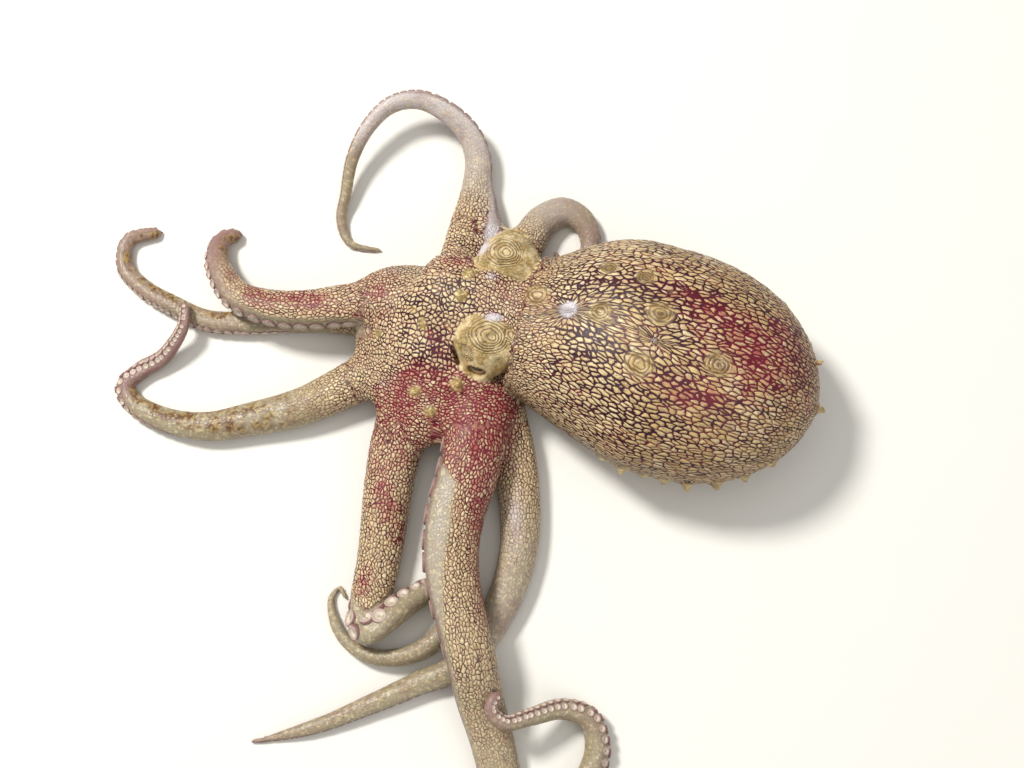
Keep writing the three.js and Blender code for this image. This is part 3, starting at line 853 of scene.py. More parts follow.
class SkinField:
    """The whole body as one field, from its parts.

    A `SPACE` is a block by its corners, and a `PAD` how far a part's field is worked out round it.
    A `REACH` is how far off a part starts to run into the body; for the head and the mantle, how
    far at the ground, how much farther above it, and the heights between which it grows.
    """

    SPACE = ((-78.5, -76.0, -1.5), (75.0, 84.0, 34.5))
    STRETCH = 10
    NEAR_MOUTH = 33
    WIDE_PAD, NARROW_PAD, ARM_PAD = 4.5, 1.2, 13
    CROWN_REACH, WEB_REACH, LUMP_PAD = 3.2, 4.2, 6
    HEAD_SPACE = ((-18.0, 8.0, 0.0), (30.0, 56.0, 32.0))
    HEAD_REACH, MANTLE_REACH = (1.4, 3.0, (9, 17)), (0.7, 5.0, (10, 18))
    MANTLE_SPACE = ((4.0, -8.0, -2.0), (78.0, 60.0, 36.0))
    MARGIN_PAD, MARGIN_REACH = 7, 1.1
    CROWN_POINT_PAD, CROWN_POINT_REACH = 6, 0.9
    SIDE_POINT_PAD, SIDE_POINT_REACH = 4, 0.5

    def __init__(self, step: float) -> None:
        """Fills a block of space with the body.

        Args:
            step: Distance between the points of the grid.
        """
        self.lines = [ArmLine(arm) for arm in ARMS]
        self.block = Block(*self.SPACE, step)
        self._lay_arms()
        self._lay_body()
        self._cut()

    def _lay_arms(self) -> None:
        """Joins the eight arms to the body."""
        block = self.block
        for line in self.lines:
            own = np.full_like(block.value, Block.FAR)
            for first in range(0, len(line.points), self.STRETCH):
                last = min(first + self.STRETCH + 1, len(line.points))
                part = line.points[first:last]
                off = np.hypot(part[:, 0] - CROWN.centre[0], part[:, 1] - CROWN.centre[1]).min()
                pad = line.half_width[first:last].max()
                pad += self.WIDE_PAD if off < self.NEAR_MOUTH else self.NARROW_PAD
                cut = block.window(part.min(0) - pad, part.max(0) + pad)
                x, y, z = np.broadcast_arrays(*block.grid(cut))
                points = np.stack([x, y, z], axis=-1).reshape(-1, 3).astype(np.float64)
                got = line.field(points, first, last).reshape(x.shape)
                own[cut] = np.minimum(own[cut], got.astype(np.float32))
            cut = block.window(
                line.points.min(0) - self.ARM_PAD, line.points.max(0) + self.ARM_PAD
            )
            reach = near_mouth(*block.grid(cut))
            block.value[cut] = soft_least(block.value[cut], own[cut], reach)

    def _lay_body(self) -> None:
        """Joins the crown, the webs, the siphon, the head, the mantle and the papillae."""
        block = self.block
        webs = ((web, self.WEB_REACH) for web in WEBS)
        for lump, reach in ((CROWN, self.CROWN_REACH), *webs):
            centre, half = np.array(lump.centre), np.array(lump.half)
            low, high = centre - half - self.LUMP_PAD, centre + half + self.LUMP_PAD
            block.add(lump.field, low, high, reach)
        self._lay_siphon()
        for part, space, reach in (
            (HEAD, self.HEAD_SPACE, self.HEAD_REACH), (MANTLE, self.MANTLE_SPACE, self.MANTLE_REACH)
        ):
            block.add(part.field, *map(np.array, space), wider_above(*reach))
        for papilla in edge_papillae():
            block.add(papilla.field, *papilla.round_it(self.MARGIN_PAD), self.MARGIN_REACH)
        for number, at in enumerate(CROWN_PAPILLAE):
            self._lay_crown_point(number, at)

    def _lay_crown_point(self, number: int, at: Point) -> None:
        """Joins one papilla of the crown, with the small points beside it.

        Args:
            number: Its number, which turns the small points round it.
            at: Its peak.
        """
        foot = (at[0], at[1], at[2] - CROWN_POINT_SUNK)
        papilla = Papilla(foot, *CROWN_POINT_SIZE, CROWN_POINT_LEAN)
        around = Papilla(at, *CROWN_POINT_SIZE).round_it(self.CROWN_POINT_PAD)
        self.block.add(papilla.field, *around, self.CROWN_POINT_REACH)
        for turn, height, width in SIDE_POINTS:
            turn += SIDE_POINT_TURN * number
            way = (math.cos(turn), math.sin(turn))
            beside = (
                at[0] + SIDE_POINT_OFF * way[0], at[1] + SIDE_POINT_OFF * way[1],
                at[2] - SIDE_POINT_SUNK,
            )
            lean = (SIDE_POINT_LEAN * way[0], SIDE_POINT_LEAN * way[1], 1.0)
            small = Papilla(beside, height, width, lean)
            self.block.add(
                small.field, *small.round_it(self.SIDE_POINT_PAD), self.SIDE_POINT_REACH
            )

    def _lay_siphon(self) -> None:
        """Joins the siphon, a short tapered tube under the head with an open end."""
        line, at = evenly(centripetal_curve(np.array(SIPHON_ROUTE)), LINE_STEP)
        root, tip = SIPHON_RADII
        radius = root + (tip - root) * (at / at[-1]) ** SIPHON_NARROWING
        line[:, 2] = np.maximum(line[:, 2], 0) + radius * SIPHON_LIFT
        cut = self.block.window(line.min(0) - SIPHON_PAD, line.max(0) + SIPHON_PAD)
        x, y, z = self.block.grid(cut)
        tube = np.full(np.broadcast_shapes(x.shape, y.shape, z.shape), Block.FAR, np.float32)
        bore = tube.copy()
        for point, r, run in zip(line, radius, at):
            level = (x - point[0]) ** 2 + (y - point[1]) ** 2
            off = np.sqrt(level + ((z - point[2]) / SIPHON_FLAT) ** 2)
            tube = np.minimum(tube, off - r)
            if run > at[-1] - SIPHON_DEPTH:
                bore = np.minimum(bore, off - (r - SIPHON_WALL))
        joined = soft_least(self.block.value[cut], tube, SIPHON_REACH)
        self.block.value[cut] = np.maximum(joined, -bore)

    def _crease_round(self, bulge: Array, out: Array) -> None:
        """Sinks the skin round the outer half of an eye bulge, so that the bulge stands clear.

        Args:
            bulge: Centre of the bulge.
            out: The level way out of the head.
        """
        cut = self.block.window(bulge - CREASE.pad, bulge + CREASE.pad)
        x, y, z = self.block.grid(cut)
        dx, dy, dz = x - bulge[0], y - bulge[1], z - bulge[2]
        away = np.sqrt(dx * dx + dy * dy + dz * dz) + TINY
        outward = (dx * out[0] + dy * out[1] + CREASE.upward * dz) / away
        deep = CREASE.half * smooth_step(outward, *CREASE.outer) - CREASE.fading
        moat = np.abs(away - HEAD.bulge_radius - CREASE.off) - deep
        self.block.value[cut] = soft_most(self.block.value[cut], -moat, CREASE.edge)

    def _cut(self) -> None:
        """Cuts the eye openings, the mantle's slit and the mouth, and levels the underside."""
        for side in Side:
            self._crease_round(HEAD.bulge(side), EYE.out(side))
            self._open_eye(side)
        self._slit_mantle()
        block = self.block
        z = block.everywhere()[2]
        block.value[:] = soft_most(block.value, GROUND.gap - z + 0 * block.value, GROUND.edge)
        self._hollow_mouth()

    def _open_eye(self, side: Side) -> None:
        """Lays the lids over one eyeball, and cuts their opening with its raised rim."""
        centre, gaze = EYE.centre(side), EYE.gaze(side)
        cut = self.block.window(centre - EYE_PAD, centre + EYE_PAD)
        x, y, z = self.block.grid(cut)
        dx, dy, dz = x - centre[0], y - centre[1], z - centre[2]
        away = np.sqrt(dx * dx + dy * dy + dz * dz)
        ahead = dx * gaze[0] + dy * gaze[1] + dz * gaze[2]
        level = unit(np.cross(UP, gaze))
        over = unit(np.cross(gaze, level))
        across = dx * level[0] + dy * level[1] + dz * level[2]
        upward = dx * over[0] + dy * over[1] + dz * over[2]
        lid = EYE.radius + EYE.lid
        value = soft_least(self.block.value[cut], away - lid, EYE.lid_reach)
        oval = np.sqrt((across / EYE.opening[0]) ** 2 + (upward / EYE.opening[1]) ** 2) + TINY
        rho = np.sqrt(across**2 + upward**2) + TINY
        slit = np.maximum(rho * (1 - 1 / oval), -ahead)
        rim = np.abs(rho * (1 - 1 / oval) - EYE.rim_at) - EYE.rim_half
        rim = np.maximum(rim, away - lid - EYE.rim_rise)
        rim = np.maximum(rim, -ahead)
        value = soft_least(value, rim, EYE.rim_reach)
        value = soft_most(value, -slit, EYE.edge)
        self.block.value[cut] = np.maximum(value, -(away - EYE.radius + EYE.clearance))

    def _slit_mantle(self) -> None:
        """Cuts the slit between the mantle's edge and the head, low on both sides."""
        cut = self.block.window(*map(np.array, SLIT.space))
        x, y, z = self.block.grid(cut)
        s = MANTLE.frame(x, y, z)[0]
        around = HEAD.field(x, y, z)
        slit = np.abs(around - SLIT.off) - SLIT.half
        slit = np.maximum(slit, np.maximum(s - SLIT.behind, -(s + SLIT.before)))
        slit = np.maximum(slit, z + 0 * x + 0 * y - SLIT.top)
        self.block.value[cut] = soft_most(self.block.value[cut], -slit, SLIT.edge)

    def _hollow_mouth(self) -> None:
        """Hollows the underside a little round the mouth."""
        cut = self.block.window(*map(np.array, MOUTH.space))
        x, y, z = self.block.grid(cut)
        off = np.sqrt((x - CROWN.centre[0]) ** 2 + (y - CROWN.centre[1]) ** 2)
        mouth = soft_most(z - MOUTH.high + MOUTH.curve * off**2, off - MOUTH.radius, MOUTH.rim)
        self.block.value[cut] = soft_most(self.block.value[cut], -mouth, MOUTH.edge)


# ---- Where the skin's markings lie -----------------------------------------------------------


@dataclass(frozen=True)
class Blotch:
    """A soft-edged patch, given where it lies, how far it runs and how it is turned."""

    at: Point
    run: float
    spread: float
    strength: float
    turn: float


def blotches(*rows: tuple[float, ...]) -> tuple[Blotch, ...]:
    """Patches from rows of x, y, z, run, spread, strength and turn."""
    return tuple(Blotch(row[:3], *row[3:]) for row in rows)


BLOTCHES = blotches(
    (45, 27.5, 30, 7.5, 3.2, 0.78, -22), (52.5, 21.5, 29, 6.5, 3.6, 0.72, -35),
    (43, 10.5, 30, 8, 3, 0.7, -12), (55, 15, 28, 6.5, 4.5, 0.62, -10),
    # The patches at (60, 23, 25) and (64, 17, 18), over the mantle's rear and tail, are partly its
    # own red and partly painted shade.
    (60, 23, 25, 4.5, 5.5, 0.7, -50), (50, 20, 30, 15, 10, 0.42, -15),
    (64, 17, 18, 4, 12, 0.6, 10), (8, 34, 20, 6, 5, 0.2, 0), (-38, 34, 12, 13, 4, 0.3, 0),
    (38, 31.5, 29.5, 6, 2.6, 0.5, -14), (27, 34, 27.5, 6, 2, 0.5, -6),
    (36, 13.5, 30, 4, 2.6, 0.4, -12), (27.5, 3.5, 24, 6, 3, 0.45, -16),
    (22, 20, 27, 3, 3, 0.35, -30), (15, 31.5, 22, 4.5, 4, 0.4, 0), (-3, 40.5, 12, 5, 1.8, 0.9, 0),
    (-1.5, 11.5, 15, 9, 6.5, 0.95, -60), (4.5, 6, 13, 5, 8, 0.95, 0), (-14, 12, 11, 5, 5, 0.8, 0),
    (-12, 18, 13, 5, 3, 0.6, 0), (-7, 25, 17, 2.5, 3, 0.55, 0), (-19, 36, 13, 3.5, 2.6, 0.65, 0),
    (-34.5, 35, 14, 4.5, 1.7, 1, -12), (-44.5, 36, 13, 3.2, 2, 1, -30),
    (-50, 41.5, 10, 2.2, 3, 0.9, 20), (-17.5, -5, 8, 2.6, 7, 0.75, 10),
    (-21.5, -22, 8, 2, 3.5, 0.7, 0), (-13.5, -13, 8, 1.8, 4, 0.65, 0),
    (1.5, -8, 12, 2.8, 11, 0.75, 0), (2.5, -24, 11, 2, 9, 0.6, 0),
)

DARK_PLACES = blotches(
    (-7.5, 23, 17, 6.5, 5, 0.95, -20), (-3.5, 33, 20, 6, 4.5, 0.75, 0),
    (-11, 31, 16, 5, 5, 0.6, 0), (22, 33.5, 26, 11, 3.4, 0.9, -8), (35, 30, 30, 9, 3.2, 0.7, -16),
    # (63, 19, 20), across the tail end, darkens the mantle's rear: partly its own dark lines,
    # partly painted shade.
    (30, 9, 28, 9, 3, 0.6, -30), (55, 28, 25, 8, 4, 0.6, -40), (63, 19, 20, 4.5, 11, 0.8, 10),
    (24, 20, 27, 7, 3.5, 0.7, -42),
)

MILKY_PLACES = blotches(
    (18.9, 28.6, 26.6, 2.3, 2.1, 1, 0), (34.6, 21.2, 32.2, 0.7, 0.7, 0.8, 0),
    (4.4, 28.4, 21, 2.6, 1.3, 0.9, 0), (2, 43.2, 20, 2.8, 2.6, 0.75, 0),
    (4, 37, 21, 2, 1.2, 0.6, 0), (-17, 17.7, 10.8, 3.6, 2.6, 0.4, 30),
    (-14.9, 41, 10.9, 6, 1.6, 0.45, 0), (21, 33.5, 27, 2, 1.4, 0.5, 0),
    (-11, 79, 9, 10, 4.5, 0.7, 0), (-23, 72, 8, 6, 5, 0.6, 0), (3.5, 47.5, 4, 2.6, 7, 0.75, 0),
    (8.6, -9, 8, 2, 6.5, 0.32, 0),
)


LEAST_DEPTH, DEPTH_SHARE = 6.0, 0.5


def spread(points: Array, places: Iterable[Blotch]) -> Array:
    """How strongly some patches colour each point."""
    total = np.zeros(len(points))
    for place in places:
        turn = math.radians(place.turn)
        dx, dy, dz = (points - np.array(place.at)).T
        u = (dx * math.cos(turn) + dy * math.sin(turn)) / place.run
        v = (-dx * math.sin(turn) + dy * math.cos(turn)) / place.spread
        w = dz / max(place.run, place.spread, LEAST_DEPTH)
        got = place.strength * np.exp(-(u * u + v * v + DEPTH_SHARE * w * w))
        total = total + got - total * got
    return total


@dataclass(frozen=True)
class NetPlan:
    """How the net of cells is laid over the body; lengths are in millimetres.

    `sway` makes the edges of the maps uneven. Along the mantle cells grow longer over `neck_run`
    and a little shorter again over `tail_run`; `hoop` is the length of a radian of its hoops, which
    shorten towards the tail. `head_scale` is the scale at the top of the head's map, and how much
    finer it gets over `head_sides`. Round a ring papilla cells bend by `fold_share` of its radius,
    down to `least_open` of their squared distance.
    """

    sway: Pair = (1.2, 1.0)
    lean: float = 0.3
    arm_from: float = 17.0
    head_scale: Pair = (0.94, 0.26)
    head_sides: Pair = (6.0, 20.0)
    head_round: float = 16.0
    mantle_ends: Pair = (8.0, 3.0)
    mantle_samples: int = 900
    neck_slower: float = 0.5
    neck_run: Pair = (-3.0, 8.0)
    tail_faster: float = 0.1
    tail_run: Pair = (40.0, 58.0)
    hoop: float = 22.5
    hoop_power: float = 0.6
    arm_scale: Pair = (1.02, 1.16)
    fold_share: float = 0.5
    least_open: float = 0.04


@dataclass(frozen=True)
class TonePlan:
    """Where the skin's tones start and are whole, and how strong they are.

    Names with `run` lie along an arm or the mantle in millimetres, and those with `end`, except
    the mantle's `back_end`, are shares of an arm. Names with `side`, `in` and `out` lie round an
    arm, from 0 on its sides to 1 at its suckers or its back, and those with `on` say how surely a
    point must lie on an arm.
    """

    side_edge: float = 0.32
    smooth_run: Pair = (10.0, 24.0)
    smooth_on: Pair = (0.2, 0.8)
    under_side: Pair = (0.1, 0.6)
    under_run: Pair = (6.0, 12.0)
    under_z: Pair = (2.0, 5.0)
    under_grows: float = 10.0
    oral_radius: Pair = (14.0, 19.0)
    oral_z: Pair = (1.5, 3.5)
    root_at: float = 10.0
    root_run: float = 22.0
    root_on: Pair = (0.0, 0.6)
    off_mantle: Pair = (0.0, 3.0)
    speckle: Pair = (0.15, 0.2)
    back_start: Pair = (2.0, 8.0)
    back_end: Pair = (26.0, 48.0)
    back_top: Pair = (0.0, 9.0)
    back_dark: float = 0.45
    cloud_end: Pair = (0.5, 0.75)
    # The line where an arm's sucker side meets its side: partly its own dark red, partly painted
    # shade in the crease there.
    seam_in: Pair = (0.28, 0.42)
    seam_out: Pair = (0.5, 0.66)
    seam_run: Pair = (14.0, 24.0)
    seam_end: Pair = (0.45, 0.7)
    seam_strength: float = 1.9
    umber_strength: float = 1.2
    umber_side: Pair = (0.0, 0.6)
    margin_low: Pair = (-3.0, 6.0)
    margin_run: Pair = (-2.0, 6.0)
    calmer: Pair = (0.3, 0.3)
    chalk_off: float = 0.8
    chalk_front: float = 0.6
    chalk_run: Pair = (10.0, 34.0)


NET, TONES = NetPlan(), TonePlan()
# Round an eye: the bulge's plain skin ends between two radii on its outer side, and the lids' ends
# between two radii of the eyeball's centre.
BULGE_SKIN, BULGE_SIDE, LID_SKIN = (6.5, 7.3), (-0.75, -0.4), (4.5, 5.3)
# How far the colour of a papilla's peak reaches on the crown, and past the width on the mantle.
PEAK_REACH, POINT_REACH = 1.5, 0.6
FOLD_LENGTH, NO_FOLD = 0.85, 3.0
ROWS_AT_ONCE = 20000
WIDER_ARM = 0.7
ON_ARM, ON_ARM_RUN, OFF_CROWN = (-1.0, 2.0), (5.0, 18.0), 1.0


class Markings:
    """What the skin's material reads at each point of the skin."""

    def __init__(self, points: Array, lines: Sequence[ArmLine]) -> None:
        """Works the markings out.

        Args:
            points: Points of the skin.
            lines: The arms' lines.
        """
        self.points = points
        self.values: dict[str, Array] = {}
        self._place_on_arms(lines)
        self._net()
        self._folds()
        self._tones(lines)

    def _place_on_arms(self, lines: Sequence[ArmLine]) -> None:
        """Finds each point's arm, and its place along and round that arm."""
        count = len(self.points)
        best = np.full(count, np.inf)
        self.arm = np.zeros(count, int)
        self.run, self.share, self.backness, self.rightness, self.girth = (
            np.zeros(count) for _ in range(5)
        )
        for number, line in enumerate(lines):
            for first in range(0, count, ROWS_AT_ONCE):
                rows = slice(first, first + ROWS_AT_ONCE)
                p = self.points[rows]
                gap = (p**2).sum(1)[:, None] - 2 * p @ line.points.T
                gap = gap + (line.points**2).sum(1)[None]
                off = np.sqrt(np.maximum(gap, 0)) / line.half_width[None] ** WIDER_ARM
                nearest = off.argmin(1)
                past, a, b, rho = line.local(p, nearest)
                over = np.maximum(np.abs(past) - LINE_STEP, 0.0)
                got = np.sqrt(rho * rho + over * over) - line.radial(nearest, a, b)
                better = got < best[rows]
                d = p - line.points[nearest]
                back = np.einsum("ij,ij->i", d, line.back[nearest]) / (rho + TINY)
                right = np.einsum("ij,ij->i", d, line.right[nearest]) / (rho + TINY)
                for have, new in (
                    (best, got), (self.run, line.at[nearest] + past),
                    (self.share, line.share[nearest]), (self.backness, back),
                    (self.rightness, right), (self.girth, line.half_width[nearest]),
                ):
                    have[rows] = np.where(better, new, have[rows])
                self.arm[rows] = np.where(better, number, self.arm[rows])
        x, y, z = self.points.T
        body = np.minimum(MANTLE.field(x, y, z), HEAD.field(x, y, z))
        body = np.minimum(body, CROWN.field(x, y, z) + OFF_CROWN)
        self.on_arms_side = body - best
        self.on_arm = smooth_step(body - best, *ON_ARM) * smooth_step(self.run, *ON_ARM_RUN)

    def _net(self) -> None:
        """Lays the flat coordinates in which the net of cells is even, one map for each part."""
        x, y, z = self.points.T
        one, other = NET.sway
        sway = one * np.sin(0.9 * x + 0.5 * z) + other * np.sin(1.3 * y - 0.7 * z + 1.0)
        head = np.minimum(HEAD.field(x, y, z), CROWN.field(x, y, z))
        on_mantle = (MANTLE.field(x, y, z) < head + NET.lean * sway) & (self.on_arms_side < 0)
        on_arm = (self.on_arms_side > 0) & (self.run > NET.arm_from + sway)
        net = self._head_map()
        net[on_mantle] = self._mantle_map()[on_mantle] + MAPS_APART
        away = MAPS_APART * (2 + self.arm[on_arm])
        net[on_arm] = self._arm_map()[on_arm] + np.stack([away, away], axis=1)
        for at, gap in STARS:
            net = self._opened(net, at, gap)
        for fold in FOLDS:
            net = self._closed(net, fold.at, fold.radius * NET.fold_share)
        self.values["net"] = np.column_stack([net / CELL, np.zeros(len(net))])
        self.part = np.where(on_arm, 2 + self.arm, on_mantle.astype(int))

    def _head_map(self) -> Array:
        """Rays from the top of the crown, unrolled down its sides."""
        turn = np.stack([MANTLE.along, MANTLE.across], axis=1)
        off = (self.points - np.array(CROWN.centre)) @ turn
        flat = np.linalg.norm(off, axis=1, keepdims=True)
        drop = self.points[:, 2:3] - CROWN.centre[2] - CROWN.half[2]
        finer = NET.head_scale[0] + NET.head_scale[1] * smooth_step(flat, *NET.head_sides)
        return off * finer * np.sqrt(1 + drop**2 / (flat**2 + NET.head_round))

    def _mantle_map(self) -> Array:
        """Lines from the neck to the tail, and hoops round them."""
        s, a, b = MANTLE.frame(*self.points.T)
        wide, high, _ = MANTLE.girth(s)
        before, past = NET.mantle_ends
        line = np.linspace(-before, MANTLE.length + past, NET.mantle_samples)
        across, _, closing = MANTLE.girth(line)
        girth = across * MANTLE.closing(closing)
        slower = NET.neck_slower * smooth_step(line, *NET.neck_run)
        pace = 1.0 - slower + NET.tail_faster * smooth_step(line, *NET.tail_run)
        steps = np.hypot(np.diff(line), np.diff(girth)) * (pace[1:] + pace[:-1]) / 2
        runs = np.concatenate([[0.0], np.cumsum(steps)])
        shorter = (girth / MANTLE.half_width) ** NET.hoop_power
        hoops = np.interp(s, line, np.where(line < MANTLE.widest_at, 1.0, shorter))
        turn = np.arctan2(a / wide, b / high)
        return np.column_stack([np.interp(s, line, runs), NET.hoop * turn * hoops])

    def _arm_map(self) -> Array:
        """Lines along an arm, and hoops round it."""
        turn = np.arctan2(self.rightness, self.backness)
        along, around = NET.arm_scale
        return np.column_stack([along * self.run, around * turn * self.girth])

    def _middle_in_net(self, net: Array, at: Point) -> Array:
        """The place in the net's coordinates of a point of the skin."""
        near = ((self.points - np.array(at)) ** 2).sum(1).argmin()
        return net[near].copy()

    def _opened(self, net: Array, at: Point, gap: float) -> Array:
        """Draws the net's cells out into rays round a point."""
        d = net - self._middle_in_net(net, at)
        r = np.linalg.norm(d, axis=1, keepdims=True) + TINY
        return net + d * (np.sqrt(r * r + gap * gap) / r - 1.0)

    def _closed(self, net: Array, at: Point, radius: float) -> Array:
        """Bends the net's cells round a disc."""
        d = net - self._middle_in_net(net, at)
        r = np.linalg.norm(d, axis=1, keepdims=True) + TINY
        left = np.maximum(r * r - radius * radius, NET.least_open * r * r)
        return net + d * (np.sqrt(left) / r - 1.0)

    def _folds(self) -> None:
        """Measures how far each point lies from the middle of the nearest ring papilla."""
        ring = np.full(len(self.points), NO_FOLD)
        for fold in FOLDS:
            d = self.points - np.array(fold.at)
            leaning = fold.skew * (d @ FOLD_LEAN)
            d = d @ np.stack([MANTLE.along * FOLD_LENGTH, MANTLE.across, UP], axis=1)
            r = (np.linalg.norm(d, axis=1) - leaning) / fold.radius
            ring = np.minimum(ring, r)
        self.values["fold"] = ring

    def _tones(self, lines: Sequence[ArmLine]) -> None:
        """Works out where the skin is smooth, stained, dark, milky or mauve."""
        arms, value = [line.arm for line in lines], self.values
        start, end = (np.array([arm.marked[k] for arm in arms])[self.arm] for k in (0, 1))
        stain, lilac, umber = (
            np.array([getattr(arm, name) for arm in arms])[self.arm]
            for name in ("stain", "lilac", "umber")
        )
        along = np.clip((self.share - start) / (end - start), 0, 1)
        x, y, z = self.points.T
        s, _, b = MANTLE.frame(x, y, z)
        off_mantle = smooth_step(MANTLE.field(x, y, z), *TONES.off_mantle)
        value["smooth"] = self._smooth(arms, along)
        root = np.exp(-(((self.run - TONES.root_at) / TONES.root_run) ** 2)) * stain
        root = root * smooth_step(self.on_arm, *TONES.root_on)
        on_arms, on_head = TONES.speckle
        speckle = on_arms * self.on_arm * (1 - along) + on_head * off_mantle * (1 - self.on_arm)
        # Red stains; at the mantle's rear and tail they are partly painted shade.
        stained = np.maximum(spread(self.points, BLOTCHES), root)
        value["stain"] = np.clip(stained + speckle, 0, 1)
        back = smooth_step(s, *TONES.back_start) * (1 - smooth_step(s, *TONES.back_end))
        back = back * smooth_step(b, *TONES.back_top)
        # Darker, wider lines from the dark places and the top of the mantle's front; at the tail
        # end they are partly painted shade.
        dark = spread(self.points, DARK_PLACES) + TONES.back_dark * back
        value["dark"] = np.clip(dark, 0, 1)
        clouded = lilac * value["smooth"] * (1 - smooth_step(self.share, *TONES.cloud_end))
        value["milky"] = np.clip(spread(self.points, MILKY_PLACES) + clouded, 0, 1)
        first, last = (np.array([arm.mauve[k] for arm in arms])[self.arm] for k in (0, 1))
        value["mauve"] = smooth_step((self.share - first) / (last - first), 0, 1) * self.on_arm
        # The line where the sucker side meets the arm's side: partly its own dark red, partly
        # painted shade in the crease.
        cup_edge_stain_and_shade = smooth_step(-self.backness, *TONES.seam_in)
        cup_edge_stain_and_shade = cup_edge_stain_and_shade * (1 - smooth_step(-self.backness, *TONES.seam_out))
        fading = smooth_step(self.run, *TONES.seam_run)
        fading = fading * (1 - smooth_step(self.share, *TONES.seam_end))
        strength = np.clip(lilac * TONES.seam_strength, 0, 1)
        value["cup_edge_stain_and_shade"] = cup_edge_stain_and_shade * self.on_arm * fading * strength
        upper = smooth_step(self.backness, *TONES.umber_side)
        value["umber"] = TONES.umber_strength * umber * along * upper * self.on_arm
        value["lid"] = self._eye_skin()
        value["peak"] = self._peaks()
        margin = smooth_step(-b, *TONES.margin_low) * smooth_step(s, *TONES.margin_run)
        margin = margin * (1 - self.on_arm)
        value["margin"] = margin
        on_margin, on_arms = TONES.calmer
        value["bold"] = (1 - on_margin * margin) * (1 - on_arms * self.on_arm)
        front = 1 - smooth_step(s, *TONES.chalk_run)
        value["chalk"] = np.maximum(TONES.chalk_off * off_mantle, TONES.chalk_front * front)

    def _smooth(self, arms: Sequence[Arm], along: Array) -> Array:
        """Where the skin has no net: the arms' sides, far parts and undersides, and the mouth.

        Args:
            arms: The arms, in the order of their numbers.
            along: How far each point's net has faded along its arm.

        Returns:
            How smooth the skin is at each point, 0 to 1.
        """
        bare = np.zeros(len(self.points))
        for number, arm in enumerate(arms):
            rows = self.arm == number
            bare[rows] = np.interp(self.share[rows], *zip(*arm.bare))
        side = 1 - smooth_step(self.backness - bare, -TONES.side_edge, TONES.side_edge)
        smooth = np.maximum(side, along) * smooth_step(self.run, *TONES.smooth_run)
        smooth = smooth * smooth_step(self.on_arm, *TONES.smooth_on)
        x, y, z = self.points.T
        near, later = TONES.under_run
        start = near + later * smooth_step(z, *TONES.under_z)
        under = smooth_step(-self.backness, *TONES.under_side)
        under = under * smooth_step(self.run, start, start + TONES.under_grows) * self.on_arm
        from_mouth = np.hypot(x - CROWN.centre[0], y - CROWN.centre[1])
        oral = 1 - smooth_step(from_mouth, *TONES.oral_radius)
        oral = oral * (1 - smooth_step(z, *TONES.oral_z))
        return np.clip(np.maximum(np.maximum(smooth, under), oral), 0, 1)

    def _eye_skin(self) -> Array:
        """Where the skin is the plain mottled one of the eye bulges."""
        found = np.zeros(len(self.points))
        for side in Side:
            d = self.points - HEAD.bulge(side)
            r = np.linalg.norm(d, axis=1)
            inward = (d @ EYE.out(side)) / np.maximum(r, TINY)
            bulge = (1 - smooth_step(r, *BULGE_SKIN)) * smooth_step(inward, *BULGE_SIDE)
            near = np.linalg.norm(self.points - EYE.centre(side), axis=1)
            lids = 1 - smooth_step(near, *LID_SKIN)
            found = np.maximum(np.maximum(found, bulge), lids)
        return found

    def _peaks(self) -> Array:
        """Where the small raised points of the skin stand."""
        tips = [(np.array(at), PEAK_REACH) for at in CROWN_PAPILLAE]
        for papilla in edge_papillae():
            tip = np.array(papilla.at) + unit(np.array(papilla.lean)) * papilla.height
            tips.append((tip, POINT_REACH + papilla.width))
        found = np.zeros(len(self.points))
        for tip, reach in tips:
            d = np.linalg.norm(self.points - tip, axis=1)
            found = np.maximum(found, np.exp(-((d / reach) ** 2)))
        return found


# ---- Making meshes and materials -------------------------------------------------------------


@dataclass(frozen=True)
class Place:
    """Carries millimetres of the maker's frame to metres of the fitted frame."""

    shift: tuple[float, float, float]

    @classmethod
    def fitted(cls) -> "Place":
        """The place that puts the left eye where the fitted left eye is."""
        low, high = (np.array(corner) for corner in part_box("eye_left"))
        return cls(tuple((low + high) / 2 / MM - EYE.centre(Side.LEFT)))

    def metres(self, points: Array) -> Array:
        """Points in metres of the fitted frame."""
        return (np.asarray(points) + np.array(self.shift)) * MM


def mesh_object(name: str, points: Array, faces: Array | list) -> bpy.types.Object:
    """A new object from points in metres and faces.

    Args:
        name: Name of the piece.
        points: Its points.
        faces: Its faces, as rows of point numbers.

    Returns:
        The object, linked to the scene.
    """
    mesh = bpy.data.meshes.new(name)
    rows = faces.tolist() if isinstance(faces, np.ndarray) else faces
    mesh.from_pydata(np.asarray(points).tolist(), [], rows)
    mesh.update()
    made = bpy.data.objects.new(name, mesh)
    bpy.context.collection.objects.link(made)
    return made


def only(piece: bpy.types.Object) -> None:
    """Selects one piece and nothing else."""
    bpy.ops.object.select_all(action="DESELECT")
    piece.select_set(True)
    bpy.context.view_layer.objects.active = piece


def write_attribute(piece: bpy.types.Object, name: str, values: Array) -> None:
    """Stores a number or a vector at each point of a piece."""
    kind = "FLOAT_VECTOR" if values.ndim == 2 else "FLOAT"
    made = piece.data.attributes.new(name, kind, "POINT")
    key = "vector" if values.ndim == 2 else "value"
    made.data.foreach_set(key, np.ascontiguousarray(values, np.float32).ravel())


